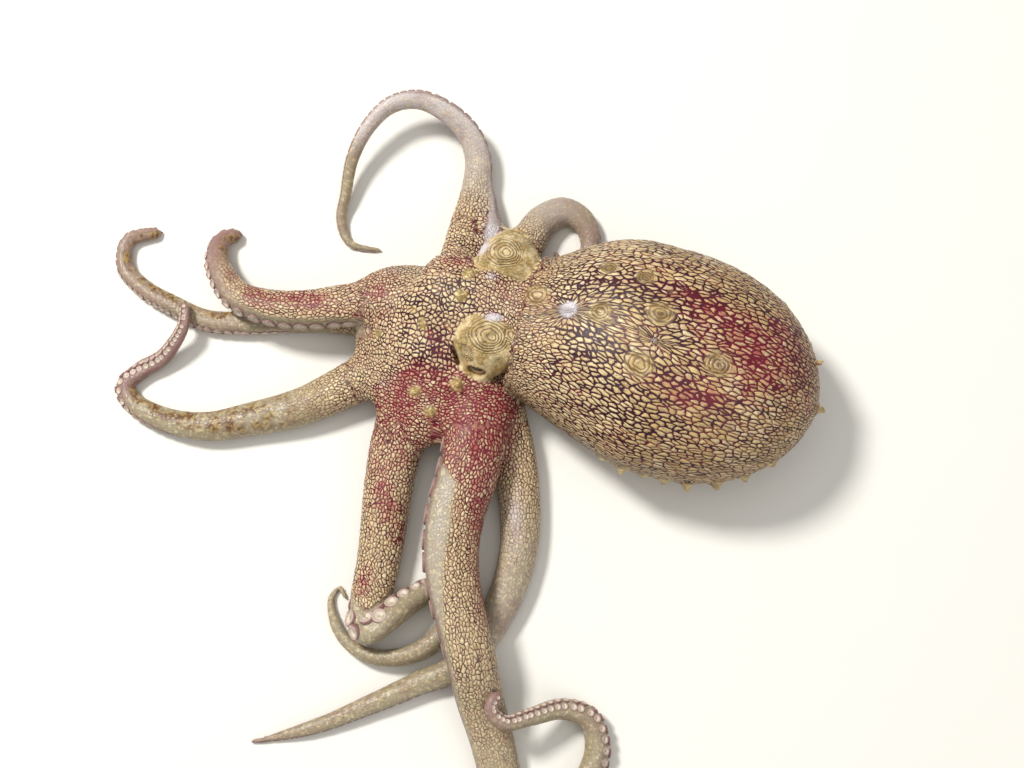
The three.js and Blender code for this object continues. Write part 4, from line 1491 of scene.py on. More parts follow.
class Signal:
    """What a node gives: a number, a vector or a colour. Numbers can be reckoned with."""

    def __init__(self, nodes: "Nodes", socket: bpy.types.NodeSocket) -> None:
        """Takes the nodes it comes from and the socket that gives it."""
        self.nodes, self.socket = nodes, socket

    def __add__(self, other: "Given") -> "Signal":
        """This number and another."""
        return self.nodes.math("ADD", self, other)

    def __sub__(self, other: "Given") -> "Signal":
        """This number less another."""
        return self.nodes.math("SUBTRACT", self, other)

    def __rsub__(self, other: float) -> "Signal":
        """A plain number less this one."""
        return self.nodes.math("SUBTRACT", other, self)

    def __mul__(self, other: "Given") -> "Signal":
        """This number times another."""
        return self.nodes.math("MULTIPLY", self, other)

    __rmul__ = __mul__

    def __truediv__(self, other: "Given") -> "Signal":
        """This number over another."""
        return self.nodes.math("DIVIDE", self, other)

    def __pow__(self, power: float) -> "Signal":
        """This number to a power."""
        return self.nodes.math("POWER", self, power)

    def __abs__(self) -> "Signal":
        """This number without its sign."""
        return self.nodes.math("ABSOLUTE", self)

    def step(self, low: "Given", high: "Given") -> "Signal":
        """A soft step from 0 where this is low to 1 where it is high."""
        node = self.nodes.add("ShaderNodeMapRange", interpolation_type="SMOOTHSTEP")
        self.nodes.fill(node, {"Value": self, "From Min": low, "From Max": high})
        return Signal(self.nodes, node.outputs["Result"])

    def between(self, low: float, high: float) -> "Signal":
        """This number, from 0 to 1, carried to lie between two others."""
        node = self.nodes.add("ShaderNodeMapRange")
        self.nodes.fill(node, {"Value": self, "To Min": low, "To Max": high})
        return Signal(self.nodes, node.outputs["Result"])

    def shaken(self, noise: "Signal", reach: float) -> "Signal":
        """This number made uneven by noise."""
        return self + (noise - 0.5) * reach


Given = Signal | float | tuple[float, ...]


class Nodes:
    """Adds and joins the nodes of one material or one geometry group."""

    def __init__(self, tree: bpy.types.NodeTree) -> None:
        """Takes the tree to work in."""
        self.tree = tree

    def add(self, kind: str, **settings: object) -> bpy.types.Node:
        """A new node with some of its settings."""
        node = self.tree.nodes.new(kind)
        for key, value in settings.items():
            setattr(node, key, value)
        return node

    def put(self, socket: bpy.types.NodeSocket, value: Given) -> None:
        """Joins a socket to what a node gives, or sets it to a plain value."""
        if isinstance(value, Signal):
            self.tree.links.new(value.socket, socket)
        elif socket.type == "RGBA":
            socket.default_value = (*value, 1.0)
        else:
            socket.default_value = value

    def fill(self, node: bpy.types.Node, given: dict) -> None:
        """Puts values in some of a node's inputs, by their names or numbers."""
        for name, value in given.items():
            self.put(node.inputs[name], value)

    def math(self, operation: str, *values: Given, clamp: bool = False) -> Signal:
        """The result of a sum on numbers."""
        node = self.add("ShaderNodeMath", operation=operation, use_clamp=clamp)
        self.fill(node, dict(enumerate(values)))
        return Signal(self, node.outputs[0])

    def most(self, first: Given, *others: Given) -> Signal:
        """The greatest of some numbers."""
        for other in others:
            first = self.math("MAXIMUM", first, other)
        return first

    def vector_math(self, operation: str, **given: Given) -> Signal:
        """The result of a sum on vectors; its first two are called a and b."""
        node = self.add("ShaderNodeVectorMath", operation=operation)
        self.fill(node, {{"a": 0, "b": 1}.get(name, name): value for name, value in given.items()})
        return Signal(self, node.outputs[0])

    def mix(self, share: Given, first: Given, second: Given) -> Signal:
        """The first colour, and the second where the share is 1."""
        node = self.add("ShaderNodeMix", data_type="RGBA", clamp_factor=True)
        for name, given in (("Factor_Float", share), ("A_Color", first), ("B_Color", second)):
            self.put(next(s for s in node.inputs if s.identifier == name), given)
        return Signal(self, next(s for s in node.outputs if s.identifier == "Result_Color"))

    def stored(self, name: str, what: str = "Fac") -> Signal:
        """A number, or with "Vector" a vector, stored on the piece."""
        return Signal(self, self.add("ShaderNodeAttribute", attribute_name=name).outputs[what])

    def named(self, name: str, kind: str) -> Signal:
        """The same, in a geometry group, with what kind of values they are."""
        node = self.add("GeometryNodeInputNamedAttribute", data_type=kind)
        self.put(node.inputs["Name"], name)
        return Signal(self, node.outputs["Attribute"])

    def place(self) -> Signal:
        """The piece's own coordinates."""
        return Signal(self, self.add("ShaderNodeTexCoord").outputs["Object"])

    def cells(self, vector: Signal, scale: float, feature: str) -> dict[str, Signal]:
        """A pattern of cells: what its node gives, by name."""
        node = self.add("ShaderNodeTexVoronoi", feature=feature, voronoi_dimensions="2D")
        self.fill(node, {"Vector": vector, "Scale": scale})
        return {socket.name: Signal(self, socket) for socket in node.outputs}

    def edge(self, vector: Signal, scale: float) -> Signal:
        """How far a point lies from the nearest line between two cells."""
        return self.cells(vector, scale, "DISTANCE_TO_EDGE")["Distance"]

    def pebbles(self, vector: Signal, scale: float) -> Signal:
        """Rounded cells: nothing on the lines between them, most in their middles."""
        second = self.cells(vector, scale, "F2")["Distance"]
        return second - self.cells(vector, scale, "F1")["Distance"]

    def noise(self, vector: Signal, scale: float, detail: float, rough: float = 0.5) -> Signal:
        """Cloudy noise from 0 to 1."""
        node = self.add("ShaderNodeTexNoise")
        self.fill(node, {"Vector": vector, "Scale": scale, "Detail": detail, "Roughness": rough})
        return Signal(self, node.outputs["Fac"])

    def parts(self, vector: Signal) -> tuple[Signal, ...]:
        """The three numbers of a vector."""
        node = self.add("ShaderNodeSeparateXYZ")
        self.put(node.inputs[0], vector)
        return tuple(Signal(self, socket) for socket in node.outputs)

    def axial(self, net: Signal, middle: Signal) -> Signal:
        """How nearly the way from a cell's middle runs along the net's first axis, 0 to 1."""
        way = self.vector_math("NORMALIZE", a=self.vector_math("SUBTRACT", a=net, b=middle))
        return abs(self.parts(way)[0])

    def bent(self, vector: Signal, scale: float, reach: float) -> Signal:
        """Coordinates that wander a little, so that what is drawn in them has wavy edges."""
        noise = self.add("ShaderNodeTexNoise")
        self.fill(noise, {"Vector": vector, "Scale": scale})
        colour = Signal(self, noise.outputs["Color"])
        off = self.vector_math("SUBTRACT", a=colour, b=(0.5, 0.5, 0.5))
        return self.vector_math("ADD", a=vector, b=self.vector_math("SCALE", a=off, Scale=reach))

    def bump(self, height: Signal, strength: float, distance: float) -> Signal:
        """A normal bent by a height."""
        node = self.add("ShaderNodeBump")
        self.fill(node, {"Height": height, "Strength": strength, "Distance": distance})
        return Signal(self, node.outputs["Normal"])


FLESH_IOR = 1.38


def new_material(name: str) -> tuple[bpy.types.Material, Nodes, bpy.types.Node]:
    """A new material with its nodes and its main shader."""
    material = bpy.data.materials.new(name)
    material.use_nodes = True
    shader = next(n for n in material.node_tree.nodes if n.type == "BSDF_PRINCIPLED")
    return material, Nodes(material.node_tree), shader


class Edge(NamedTuple):
    """A tone's soft edge: how far noise shakes it, and where it steps from nothing to whole."""

    shake: float
    low: float
    high: float


@dataclass(frozen=True)
class SkinFinish:
    """The living skin's colours: of the cells, of the lines between them, and of the rest."""

    cream: Colour = srgb(220, 193, 134)
    straw: Colour = srgb(168, 134, 76)
    bone: Colour = srgb(220, 204, 164)
    groove: Colour = srgb(50, 15, 28)
    maroon: Colour = srgb(88, 26, 38)
    crimson: Colour = srgb(106, 20, 36)
    rose: Colour = srgb(176, 96, 86)
    haze: Colour = srgb(154, 101, 70)
    olive: Colour = srgb(142, 124, 78)
    tan: Colour = srgb(172, 142, 84)
    brown: Colour = srgb(98, 64, 40)
    milk: Colour = srgb(208, 198, 198)
    side: Colour = srgb(157, 147, 117)
    mauve: Colour = srgb(136, 100, 98)


class SkinPaint:
    """Paints the skin: pale cells in a dark net, red stains, milky places and smooth sides.

    A COAT is how strongly one colour covers the ones below it. The other pairs of numbers are
    where a value steps from nothing to whole or, for widths, turns, shares and paces, what a value
    from 0 to 1 is carried to.
    """

    # Noise over the piece, as scale and detail.
    CLOUDS, PATCHES, SPECKS, GRAIN = (170.0, 3.0), (420.0, 3.0), (1250.0, 2.0), (2200.0, 2.0)
    WASHES, TAN_SPOTS, RING_SWAY = (95.0, 2.0), (700.0, 3.0), (380.0, 2.0)
    # Noise over the net, as scale and detail; how far streaks are drawn out along the net; and how
    # the net wanders, as scale and reach.
    STREAKS, SPLITS, DRAWN_OUT, WANDER = (0.75, 3.0), (0.8, 1.0), (0.25, 1.0, 1.0), (0.7, 0.9)
    STAIN, DARK, SMOOTH = Edge(0.9, 0.15, 1.05), Edge(0.8, 0.15, 0.9), Edge(0.5, 0.2, 0.8)
    MILKY, LID, PEAK = Edge(0.3, 0.15, 0.85), Edge(0.9, 0.15, 0.6), Edge(1.1, 0.25, 0.75)
    DARK_LINE, JUMP = Edge(1.2, 0.0, 0.7), (0.9, 0.97)

    # The lines between cells: how far their edge is that of the pebbles, how wide they are out of
    # and in a streak, how much a stain widens them and what share of that the dark does, how wide
    # lines along and across the net are, and how soft they are. Finer lines split some cells.
    PEBBLY, WIDTH, STAINED_WIDTH, DARK_WIDTH = 0.45, (0.055, 0.14), 0.09, 0.5
    LINE_TURN, LINE_EDGE, IN_STREAK, IN_SPLIT = (1.2, 0.5), 0.06, (0.36, 0.62), (0.46, 0.6)
    FINE_CELLS, FINE_LINE, FINE_COAT = 2.2, (0.0, 0.12), 0.5
    # What takes the net's place on the edge of two maps.
    JUMP_SPECKS, JUMP_COAT = (0.42, 0.6), 0.45

    # The cells: how much straw, wash and rose they take, and how far their shaded edge reaches.
    STRAW_SHARE, WASH_SHARE, ROSE_SHARE = (0.6, 0.15), (0.4, 0.1), (-0.15, 1.1)
    IN_WASH, MARGIN_COAT, DARK_COAT = (0.42, 0.62), 0.5, 0.7
    MARGIN_LINE_COAT, LID_COAT, HALO, HALO_COAT = 0.6, 0.8, 0.24, 0.42
    FLUSH_CLOUDS, IN_FLUSH, FLUSH_COAT = (0.5, 1.5), (0.45, 1.05), 0.14

    # The rings of the ring papillae and, second, of the lids: how unevenly and how fast they follow
    # each other, and where they start to fade and are gone.
    SWAY, RING_PACE, FOLD_FROM, FOLD_TO = 11.0, (23.0, 36.0), (0.6, 0.85), (1.1, 1.3)
    IN_RING, RING_SPECKS, RING_COAT, FOLD_COAT = (0.3, 0.95), (0.3, 0.44), 0.85, 0.6
    IN_TAN, IN_PLAIN, TIP_SPECKS, TIP_COAT = (0.38, 0.6), (0.42, 0.66), (0.45, 0.7), 0.85
    IN_MILK = (0.35, 1.0)

    # The smooth sides.
    MILK_COAT, SIDE_SPECKS, SPECK_COAT = 0.7, (0.52, 0.66), 0.5
    SIDE_CLOUDS, CLOUD_COAT, MAUVE_COAT, CELL_COAT = (0.45, 0.65), 0.3, 0.8, 0.32
    UMBER_SPECKS, UMBER_PATCHES = (0.4, 0.6), (0.35, 0.62)
    # How strongly that line along the sucker side, partly painted shade, covers the skin; and the
    # brown grain.
    SEAM_COAT, IN_GRAIN, GRAIN_COAT = 0.6, (0.5, 0.8), 0.15

    # The surface: how rough net and smooth skin are, and how high cells, rings and grain stand.
    ROUGH, CELL_TOP, RING_RISE, GRAIN_RISE = (1.0, 0.2), (0.0, 0.7), -0.45, 0.25
    BUMP, SHEEN, FLESH = (0.95, 0.0002), (0.46, 0.32), (0.08, 0.35)
    FLESH_RADIUS, FLESH_SCALE = (1.0, 0.5, 0.35), 0.0008

    def __init__(self, look: SkinFinish) -> None:
        """Reads the tones stored on the skin, and the noise that breaks them up.

        Args:
            look: The colours.
        """
        self.look = look
        self.material, self.n, self.shader = new_material("skin")
        n = self.n
        self.place, self.even_net = n.place(), n.stored("net", "Vector")
        self.clouds, self.patches = self._noise(self.CLOUDS), self._noise(self.PATCHES)
        self.grain, self.specks = self._noise(self.GRAIN), self._noise(self.SPECKS)
        self.stain = self._tone(n.stored("stain"), self.patches, self.STAIN)
        self.dark = self._tone(n.stored("dark"), self.clouds, self.DARK)
        self.smooth = self._tone(n.stored("smooth"), self.patches, self.SMOOTH)
        self.milky = self._tone(n.stored("milky"), self.patches, self.MILKY)
        self.lid = self._tone(n.stored("lid"), self.patches, self.LID)
        self.margin, self.umber = n.stored("margin"), n.stored("umber")
        self.jump = n.stored("jump").step(*self.JUMP)
        self.streak = n.noise(
            n.vector_math("MULTIPLY", a=self.even_net, b=self.DRAWN_OUT), *self.STREAKS
        ).step(*self.IN_STREAK)

    def _noise(self, kind: Pair) -> Signal:
        """Noise over the piece, of some scale and detail."""
        return self.n.noise(self.place, *kind)

    @staticmethod
    def _tone(value: Signal, noise: Signal, edge: Edge) -> Signal:
        """A tone with its edge shaken by noise."""
        return value.shaken(noise, edge.shake).step(edge.low, edge.high)

    def paint(self) -> bpy.types.Material:
        """Makes the material."""
        n, look = self.n, self.look
        self._draw_net()
        self._draw_rings()
        colour = n.mix(self.smooth, self._marked_colour(), self._side_colour())
        # A dark red line along the edge of the sucker side: partly the skin's own red, partly
        # painted shade in the crease.
        colour = n.mix(n.stored("cup_edge_stain_and_shade") * self.SEAM_COAT, colour, look.maroon)
        colour = n.mix(self.grain.step(*self.IN_GRAIN) * self.GRAIN_COAT, colour, look.brown)
        n.fill(self.shader, {
            "Base Color": colour, "Normal": n.bump(self._height(), *self.BUMP),
            "Roughness": self.cell.between(*self.SHEEN), "IOR": FLESH_IOR,
            "Subsurface Weight": self.smooth.between(*self.FLESH),
            "Subsurface Radius": self.FLESH_RADIUS, "Subsurface Scale": self.FLESH_SCALE,
        })
        return self.material

    def _draw_net(self) -> None:
        """Works out where the cells are, with streaks of wider lines and some cells split."""
        n, net = self.n, self.n.bent(self.even_net, *self.WANDER)
        own = n.cells(net, 1.0, "F1")
        tint = n.add("ShaderNodeSeparateColor")
        n.put(tint.inputs[0], own["Color"])
        self.tint = [Signal(n, socket) for socket in tint.outputs]
        self.gap = n.cells(net, 1.0, "F2")["Distance"] - own["Distance"]
        edge = n.edge(net, 1.0)
        self.edge = edge + self.PEBBLY * (self.gap * 0.5 - edge)
        thick = self.streak.between(*self.WIDTH) * n.stored("bold")
        thick = thick + (self.stain + self.dark * self.DARK_WIDTH) * self.STAINED_WIDTH
        self.wide = thick * n.axial(net, own["Position"]).between(*self.LINE_TURN)
        cell = self.edge.step(self.wide, self.wide + self.LINE_EDGE)
        split = n.noise(self.even_net, *self.SPLITS).step(*self.IN_SPLIT)
        fine = (1.0 - n.edge(net, self.FINE_CELLS).step(*self.FINE_LINE)) * split
        cell = cell * (1.0 - fine * self.FINE_COAT)
        mottled = self.specks.step(*self.JUMP_SPECKS) * self.JUMP_COAT
        self.cell = cell + self.jump * (mottled - cell)

    def _draw_rings(self) -> None:
        """Works out where the rings of the ring papillae and of the lids are."""
        fold = self.n.stored("fold")
        sway = self._noise(self.RING_SWAY) * self.SWAY
        self.waves = self.n.math("SINE", fold * self.lid.between(*self.RING_PACE) + sway)
        start, end = self.lid.between(*self.FOLD_FROM), self.lid.between(*self.FOLD_TO)
        self.in_fold = 1.0 - fold.step(start, end)
        self.bare = self.n.most(self.in_fold * self.FOLD_COAT, self.lid * self.LID_COAT)

    def _cell_colour(self) -> Signal:
        """The colour of the cells."""
        n, look, chalk = self.n, self.look, self.n.stored("chalk")
        pale = n.mix(n.most(self.tint[0], chalk), look.cream, look.bone)
        pale = n.mix(self.tint[1] * chalk.between(*self.STRAW_SHARE), pale, look.straw)
        pale = n.mix(self.margin * self.MARGIN_COAT, pale, look.olive)
        wash = self._noise(self.WASHES).step(*self.IN_WASH) * chalk.between(*self.WASH_SHARE)
        pale = n.mix(wash, pale, look.straw)
        rosy = n.math("MULTIPLY", self.stain, self.tint[2].between(*self.ROSE_SHARE), clamp=True)
        pale = n.mix(self.milky, n.mix(rosy, pale, look.rose), look.milk)
        halo = 1.0 - self.edge.step(self.wide, self.wide + self.HALO)
        return n.mix(halo * self.HALO_COAT, pale, n.mix(self.stain, look.haze, look.rose))

    def _line_colour(self) -> Signal:
        """The colour of the lines between the cells."""
        n, look = self.n, self.look
        deep = self._tone(self.dark, self.streak, self.DARK_LINE)
        line = n.mix(deep, look.maroon, look.groove)
        line = n.mix(self.stain * (1.0 - self.dark * self.DARK_COAT), line, look.crimson)
        brown = (self.margin * self.MARGIN_LINE_COAT, self.umber, self.lid * self.LID_COAT)
        return n.mix(n.most(*brown), line, look.brown)

    def _marked_colour(self) -> Signal:
        """The colour of the skin with the net, its rings, its peaks and its milky places."""
        n, look = self.n, self.look
        marked = n.mix(self.cell, self._line_colour(), self._cell_colour())
        flush = (self.stain * self.clouds.between(*self.FLUSH_CLOUDS)).step(*self.IN_FLUSH)
        marked = n.mix(flush * self.FLUSH_COAT, marked, look.crimson)
        tan = n.mix(self._noise(self.TAN_SPOTS).step(*self.IN_TAN), look.olive, look.tan)
        pale = n.mix(self.grain, look.cream, look.bone)
        plain = n.mix(self.patches.step(*self.IN_PLAIN), tan, pale)
        marked = n.mix(self.bare, marked, plain)
        speckled = self.in_fold * self.specks.step(*self.RING_SPECKS)
        rings = self.waves.step(*self.IN_RING) * speckled
        marked = n.mix(rings * self.RING_COAT, marked, look.brown)
        tip = n.mix(self.specks.step(*self.TIP_SPECKS), tan, look.cream)
        tip = n.mix(self.margin, tip, look.bone)
        peak = self._tone(n.stored("peak"), self.patches, self.PEAK)
        marked = n.mix(peak * self.TIP_COAT, marked, tip)
        return n.mix(self.milky.step(*self.IN_MILK), marked, look.milk)

    def _side_colour(self) -> Signal:
        """The colour of the smooth skin."""
        n, look = self.n, self.look
        brown = n.mix(0.5, look.straw, look.olive)
        brown = n.mix(self.specks.step(*self.UMBER_SPECKS), look.brown, brown)
        side: Given = look.side
        for share, over in (
            (self.milky * self.MILK_COAT, look.milk),
            (self.specks.step(*self.SIDE_SPECKS) * self.SPECK_COAT, look.bone),
            (self.clouds.step(*self.SIDE_CLOUDS) * self.CLOUD_COAT, look.mauve),
            (n.stored("mauve") * self.MAUVE_COAT, look.mauve),
            ((1.0 - self.cell) * self.CELL_COAT, look.mauve),
            (self.umber * self.patches.step(*self.UMBER_PATCHES), brown),
        ):
            side = n.mix(share, side, over)
        return side

    def _height(self) -> Signal:
        """How high the skin stands: rounded cells, ring after ring and a fine grain."""
        rough = self.n.most(self.smooth, self.bare).between(*self.ROUGH)
        height = self.gap.step(*self.CELL_TOP) * self.cell * rough * (1.0 - self.jump)
        height = height + self.waves * self.in_fold * self.RING_RISE
        return height + self.grain * self.GRAIN_RISE


@dataclass(frozen=True)
class SuckerFinish:
    """Pale cups with a mauve rim, and painted shade at their outer foot and in their hollow.

    Pairs in `to_` say where, out from the middle, one colour gives way to the next; `mottle` and
    `grain` are scales and details of noise, and `bump` is a strength and a height.
    """

    disc: Colour = srgb(214, 202, 180)
    rim: Colour = srgb(184, 164, 148)
    # The darkest tone: painted shade at the outer foot and in the hollow, and the cups' own mottle.
    mottle_and_painted_shade: Colour = srgb(132, 98, 94)
    to_rim: Pair = (0.5, 0.66)
    # Where the painted shade at the outer foot, where the cup meets the arm, starts and is whole.
    to_edge: Pair = (0.9, 1.02)
    # Where the painted shade of the hollow ends, and how strong it is.
    to_shaded_hollow: Pair = (0.0, 0.18)
    hollow_shade_coat: float = 0.4
    mottle: Pair = (2500.0, 2.0)
    mottle_coat: float = 0.25
    grain: Pair = (3500.0, 2.0)
    bump: Pair = (0.35, 0.0001)
    roughness: float = 0.38
    flesh: float = 0.15
    flesh_radius: Point = (1.0, 0.5, 0.4)
    flesh_scale: float = 0.0006

    def make(self) -> bpy.types.Material:
        """Makes the material."""
        material, n, shader = new_material("sucker_skin")
        out = n.stored("out")
        colour = n.mix(out.step(*self.to_rim), self.disc, self.rim)
        # Painted shade at the outer foot of each cup, where it meets the arm.
        colour = n.mix(out.step(*self.to_edge), colour, self.mottle_and_painted_shade)
        # Painted shade in the hollow in the middle of each cup.
        hollow = (1.0 - out.step(*self.to_shaded_hollow)) * self.hollow_shade_coat
        colour = n.mix(hollow, colour, self.mottle_and_painted_shade)
        # The cups' own mottle, in the same dark tone.
        mottled = n.noise(n.place(), *self.mottle) * self.mottle_coat
        n.fill(shader, {
            "Base Color": n.mix(mottled, colour, self.mottle_and_painted_shade),
            "Normal": n.bump(n.noise(n.place(), *self.grain), *self.bump),
            "Roughness": self.roughness, "IOR": FLESH_IOR, "Subsurface Weight": self.flesh,
            "Subsurface Radius": self.flesh_radius, "Subsurface Scale": self.flesh_scale,
        })
        return material


@dataclass(frozen=True)
class EyeFinish:
    """A golden-brown iris with a dark level slit under a clear wet surface.

    Lengths are shares of the eyeball's radius, seen from in front. `fibres` is the scale, detail
    and roughness of the iris's noise; `sag` is how far the slit's ends hang, and its length and
    height are halves.
    """

    iris: Colour = srgb(150, 112, 76)
    iris_edge: Colour = srgb(104, 72, 60)
    fleck: Colour = srgb(196, 162, 118)
    pupil: Colour = srgb(9, 7, 8)
    fibres: tuple[float, float, float] = (9.0, 4.0, 0.7)
    to_fleck: Pair = (0.35, 0.7)
    to_edge: Pair = (0.4, 0.62)
    sag: float = 0.35
    slit_long: float = 0.44
    slit_high: float = 0.095
    slit_at: float = 0.03
    slit_edge: float = 0.025
    roughness: float = 0.12
    coat: float = 0.6
    coat_roughness: float = 0.04

    def make(self) -> bpy.types.Material:
        """Makes the material."""
        material, n, shader = new_material("eyeball")
        gaze = n.stored("gaze", "Vector")
        across, upward, _ = n.parts(gaze)
        away = (across**2.0 + upward**2.0) ** 0.5
        colour = n.mix(n.noise(gaze, *self.fibres).step(*self.to_fleck), self.iris, self.fleck)
        colour = n.mix(away.step(*self.to_edge), colour, self.iris_edge)
        left = n.most(1.0 - (across / self.slit_long) ** 2.0, 0.0)
        high = left**0.5 * self.slit_high
        off = abs(upward - across**2.0 * self.sag - self.slit_at)
        slit = off.step(high - self.slit_edge, high)
        n.fill(shader, {
            "Base Color": n.mix(1.0 - slit, colour, self.pupil), "Roughness": self.roughness,
            "Coat Weight": self.coat, "Coat Roughness": self.coat_roughness,
        })
        return material


@dataclass(frozen=True)
class FloorFinish:
    """A plain pale floor, with grain of some scale and detail."""

    paper: Colour = srgb(226, 222, 212)
    fibre: Colour = srgb(205, 200, 190)
    grain: Pair = (60.0, 2.0)
    grain_coat: float = 0.05
    roughness: float = 0.85

    def make(self) -> bpy.types.Material:
        """Makes the material."""
        material, n, shader = new_material("studio_paper")
        grain = n.noise(n.place(), *self.grain) * self.grain_coat
        colour = n.mix(grain, self.paper, self.fibre)
        n.fill(shader, {"Base Color": colour, "Roughness": self.roughness})
        return material


# ---- The pieces ------------------------------------------------------------------------------


@dataclass
class Skin:
    """The one skin over the mantle, head, crown, siphon and arms.

    `nodes` are the fitted nodes that it stands for. Its field is sampled every `step` millimetres.
    A cell stands `relief` millimetres out, less by the share `smoother` on smooth skin, and not at
    all in a ring papilla.
    """

    place: Place
    nodes: tuple[str, ...]
    lines: list[ArmLine] = field(default_factory=list)
    step: float = 0.5
    most_triangles: int = 196000
    relief: float = 0.13
    smoother: float = 0.85
    ring_calm: Pair = (0.8, 1.3)
    pebble_scale: float = 0.55
    pebble_top: Pair = (0.0, 0.5)

    def build(self) -> bpy.types.Object:
        """Makes the skin.

        Returns:
            The piece, without its material.
        """
        body = SkinField(self.step)
        self.lines = body.lines
        points, quads = body.block.surface()
        log.info("skin field: %d points, %d faces", len(points), len(quads))
        piece = mesh_object("skin", points * MM, quads)
        self._keep_largest(piece)
        self._thin_out(piece)
        count = len(piece.data.vertices)
        points = np.empty(count * 3, np.float32)
        piece.data.vertices.foreach_get("co", points)
        points = points.reshape(-1, 3).astype(np.float64) / MM
        marks = Markings(points, self.lines)
        marks.values["jump"] = self._jumps(piece, marks)
        for name, values in marks.values.items():
            write_attribute(piece, name, values)
        write_attribute(piece, "rise", self._rise(marks))
        piece.data.vertices.foreach_set("co", self.place.metres(points).astype(np.float32).ravel())
        piece.data.update()
        self._raise_cells(piece)
        only(piece)
        bpy.ops.object.shade_smooth()
        log.info("skin: %d faces", len(piece.data.polygons))
        return piece

    def dress(self, piece: bpy.types.Object) -> None:
        """Gives the skin its material and its place in the model."""
        piece.data.materials.append(SkinPaint(SkinFinish()).paint())
        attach(piece, BODY)
        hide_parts(*self.nodes)

    @staticmethod
    def _keep_largest(piece: bpy.types.Object) -> None:
        """Turns the faces outward and removes all but the outer skin."""
        only(piece)
        bpy.ops.object.mode_set(mode="EDIT")
        bpy.ops.mesh.select_all(action="SELECT")
        bpy.ops.mesh.normals_make_consistent(inside=False)
        bpy.ops.mesh.select_all(action="DESELECT")
        bpy.ops.object.mode_set(mode="OBJECT")
        co = np.empty(len(piece.data.vertices) * 3, np.float32)
        piece.data.vertices.foreach_get("co", co)
        top = int(co.reshape(-1, 3)[:, 2].argmax())
        piece.data.vertices[top].select = True
        bpy.ops.object.mode_set(mode="EDIT")
        bpy.ops.mesh.select_mode(type="VERT")
        bpy.ops.mesh.select_linked()
        bpy.ops.mesh.select_all(action="INVERT")
        bpy.ops.mesh.delete(type="VERT")
        bpy.ops.object.mode_set(mode="OBJECT")

    @staticmethod
    def _jumps(piece: bpy.types.Object, marks: Markings) -> Array:
        """Marks the points of the faces that lie across the edge of two maps of the net."""
        ends = np.empty(len(piece.data.edges) * 2, np.int64)
        piece.data.edges.foreach_get("vertices", ends)
        ends = ends.reshape(-1, 2)
        found = np.zeros(len(marks.points))
        found[ends[marks.part[ends[:, 0]] != marks.part[ends[:, 1]]].ravel()] = 1.0
        return found

    def _rise(self, marks: Markings) -> Array:
        """How far the middle of a cell stands out at each point, in metres."""
        rough = 1 - self.smoother * marks.values["smooth"]
        calm = smooth_step(marks.values["fold"], *self.ring_calm) * (1 - marks.values["lid"])
        return self.relief * MM * rough * calm * (1 - marks.values["jump"])

    def _raise_cells(self, piece: bpy.types.Object) -> None:
        """Raises rounded cells of the net, larger than those the material draws, in the mesh
        itself.
        """
        group = bpy.data.node_groups.new("raise_cells", "GeometryNodeTree")
        for way in ("INPUT", "OUTPUT"):
            group.interface.new_socket("Geometry", in_out=way, socket_type="NodeSocketGeometry")
        n = Nodes(group)
        start, end = n.add("NodeGroupInput"), n.add("NodeGroupOutput")
        net, rise = n.named("net", "FLOAT_VECTOR"), n.named("rise", "FLOAT")
        high = n.pebbles(net, self.pebble_scale).step(*self.pebble_top) * rise
        normal = Signal(n, n.add("GeometryNodeInputNormal").outputs[0])
        move = n.add("GeometryNodeSetPosition")
        offset = n.vector_math("SCALE", a=normal, Scale=high)
        n.fill(move, {"Geometry": Signal(n, start.outputs[0]), "Offset": offset})
        n.put(end.inputs[0], Signal(n, move.outputs[0]))
        modifier = piece.modifiers.new("raise_cells", "NODES")
        modifier.node_group = group
        only(piece)
        bpy.ops.object.modifier_apply(modifier=modifier.name)
        bpy.data.node_groups.remove(group)

    def _thin_out(self, piece: bpy.types.Object) -> None:
        """Thins the mesh to its budget, most where it is flattest."""
        triangles = sum(len(p.vertices) - 2 for p in piece.data.polygons)
        if triangles <= self.most_triangles:
            return
        thin = piece.modifiers.new("thin", "DECIMATE")
        thin.ratio = self.most_triangles / triangles
        only(piece)
        bpy.ops.object.modifier_apply(modifier=thin.name)


# Radius and height of a cup's rings, from its foot over the rim to its hollow, for a rim of 1.
CUP_RINGS = (
    (1.0, -0.55), (1.04, -0.1), (0.98, 0.16), (0.8, 0.24),
    (0.62, 0.12), (0.5, 0.05), (0.2, -0.02), (0.12, -0.16),
)


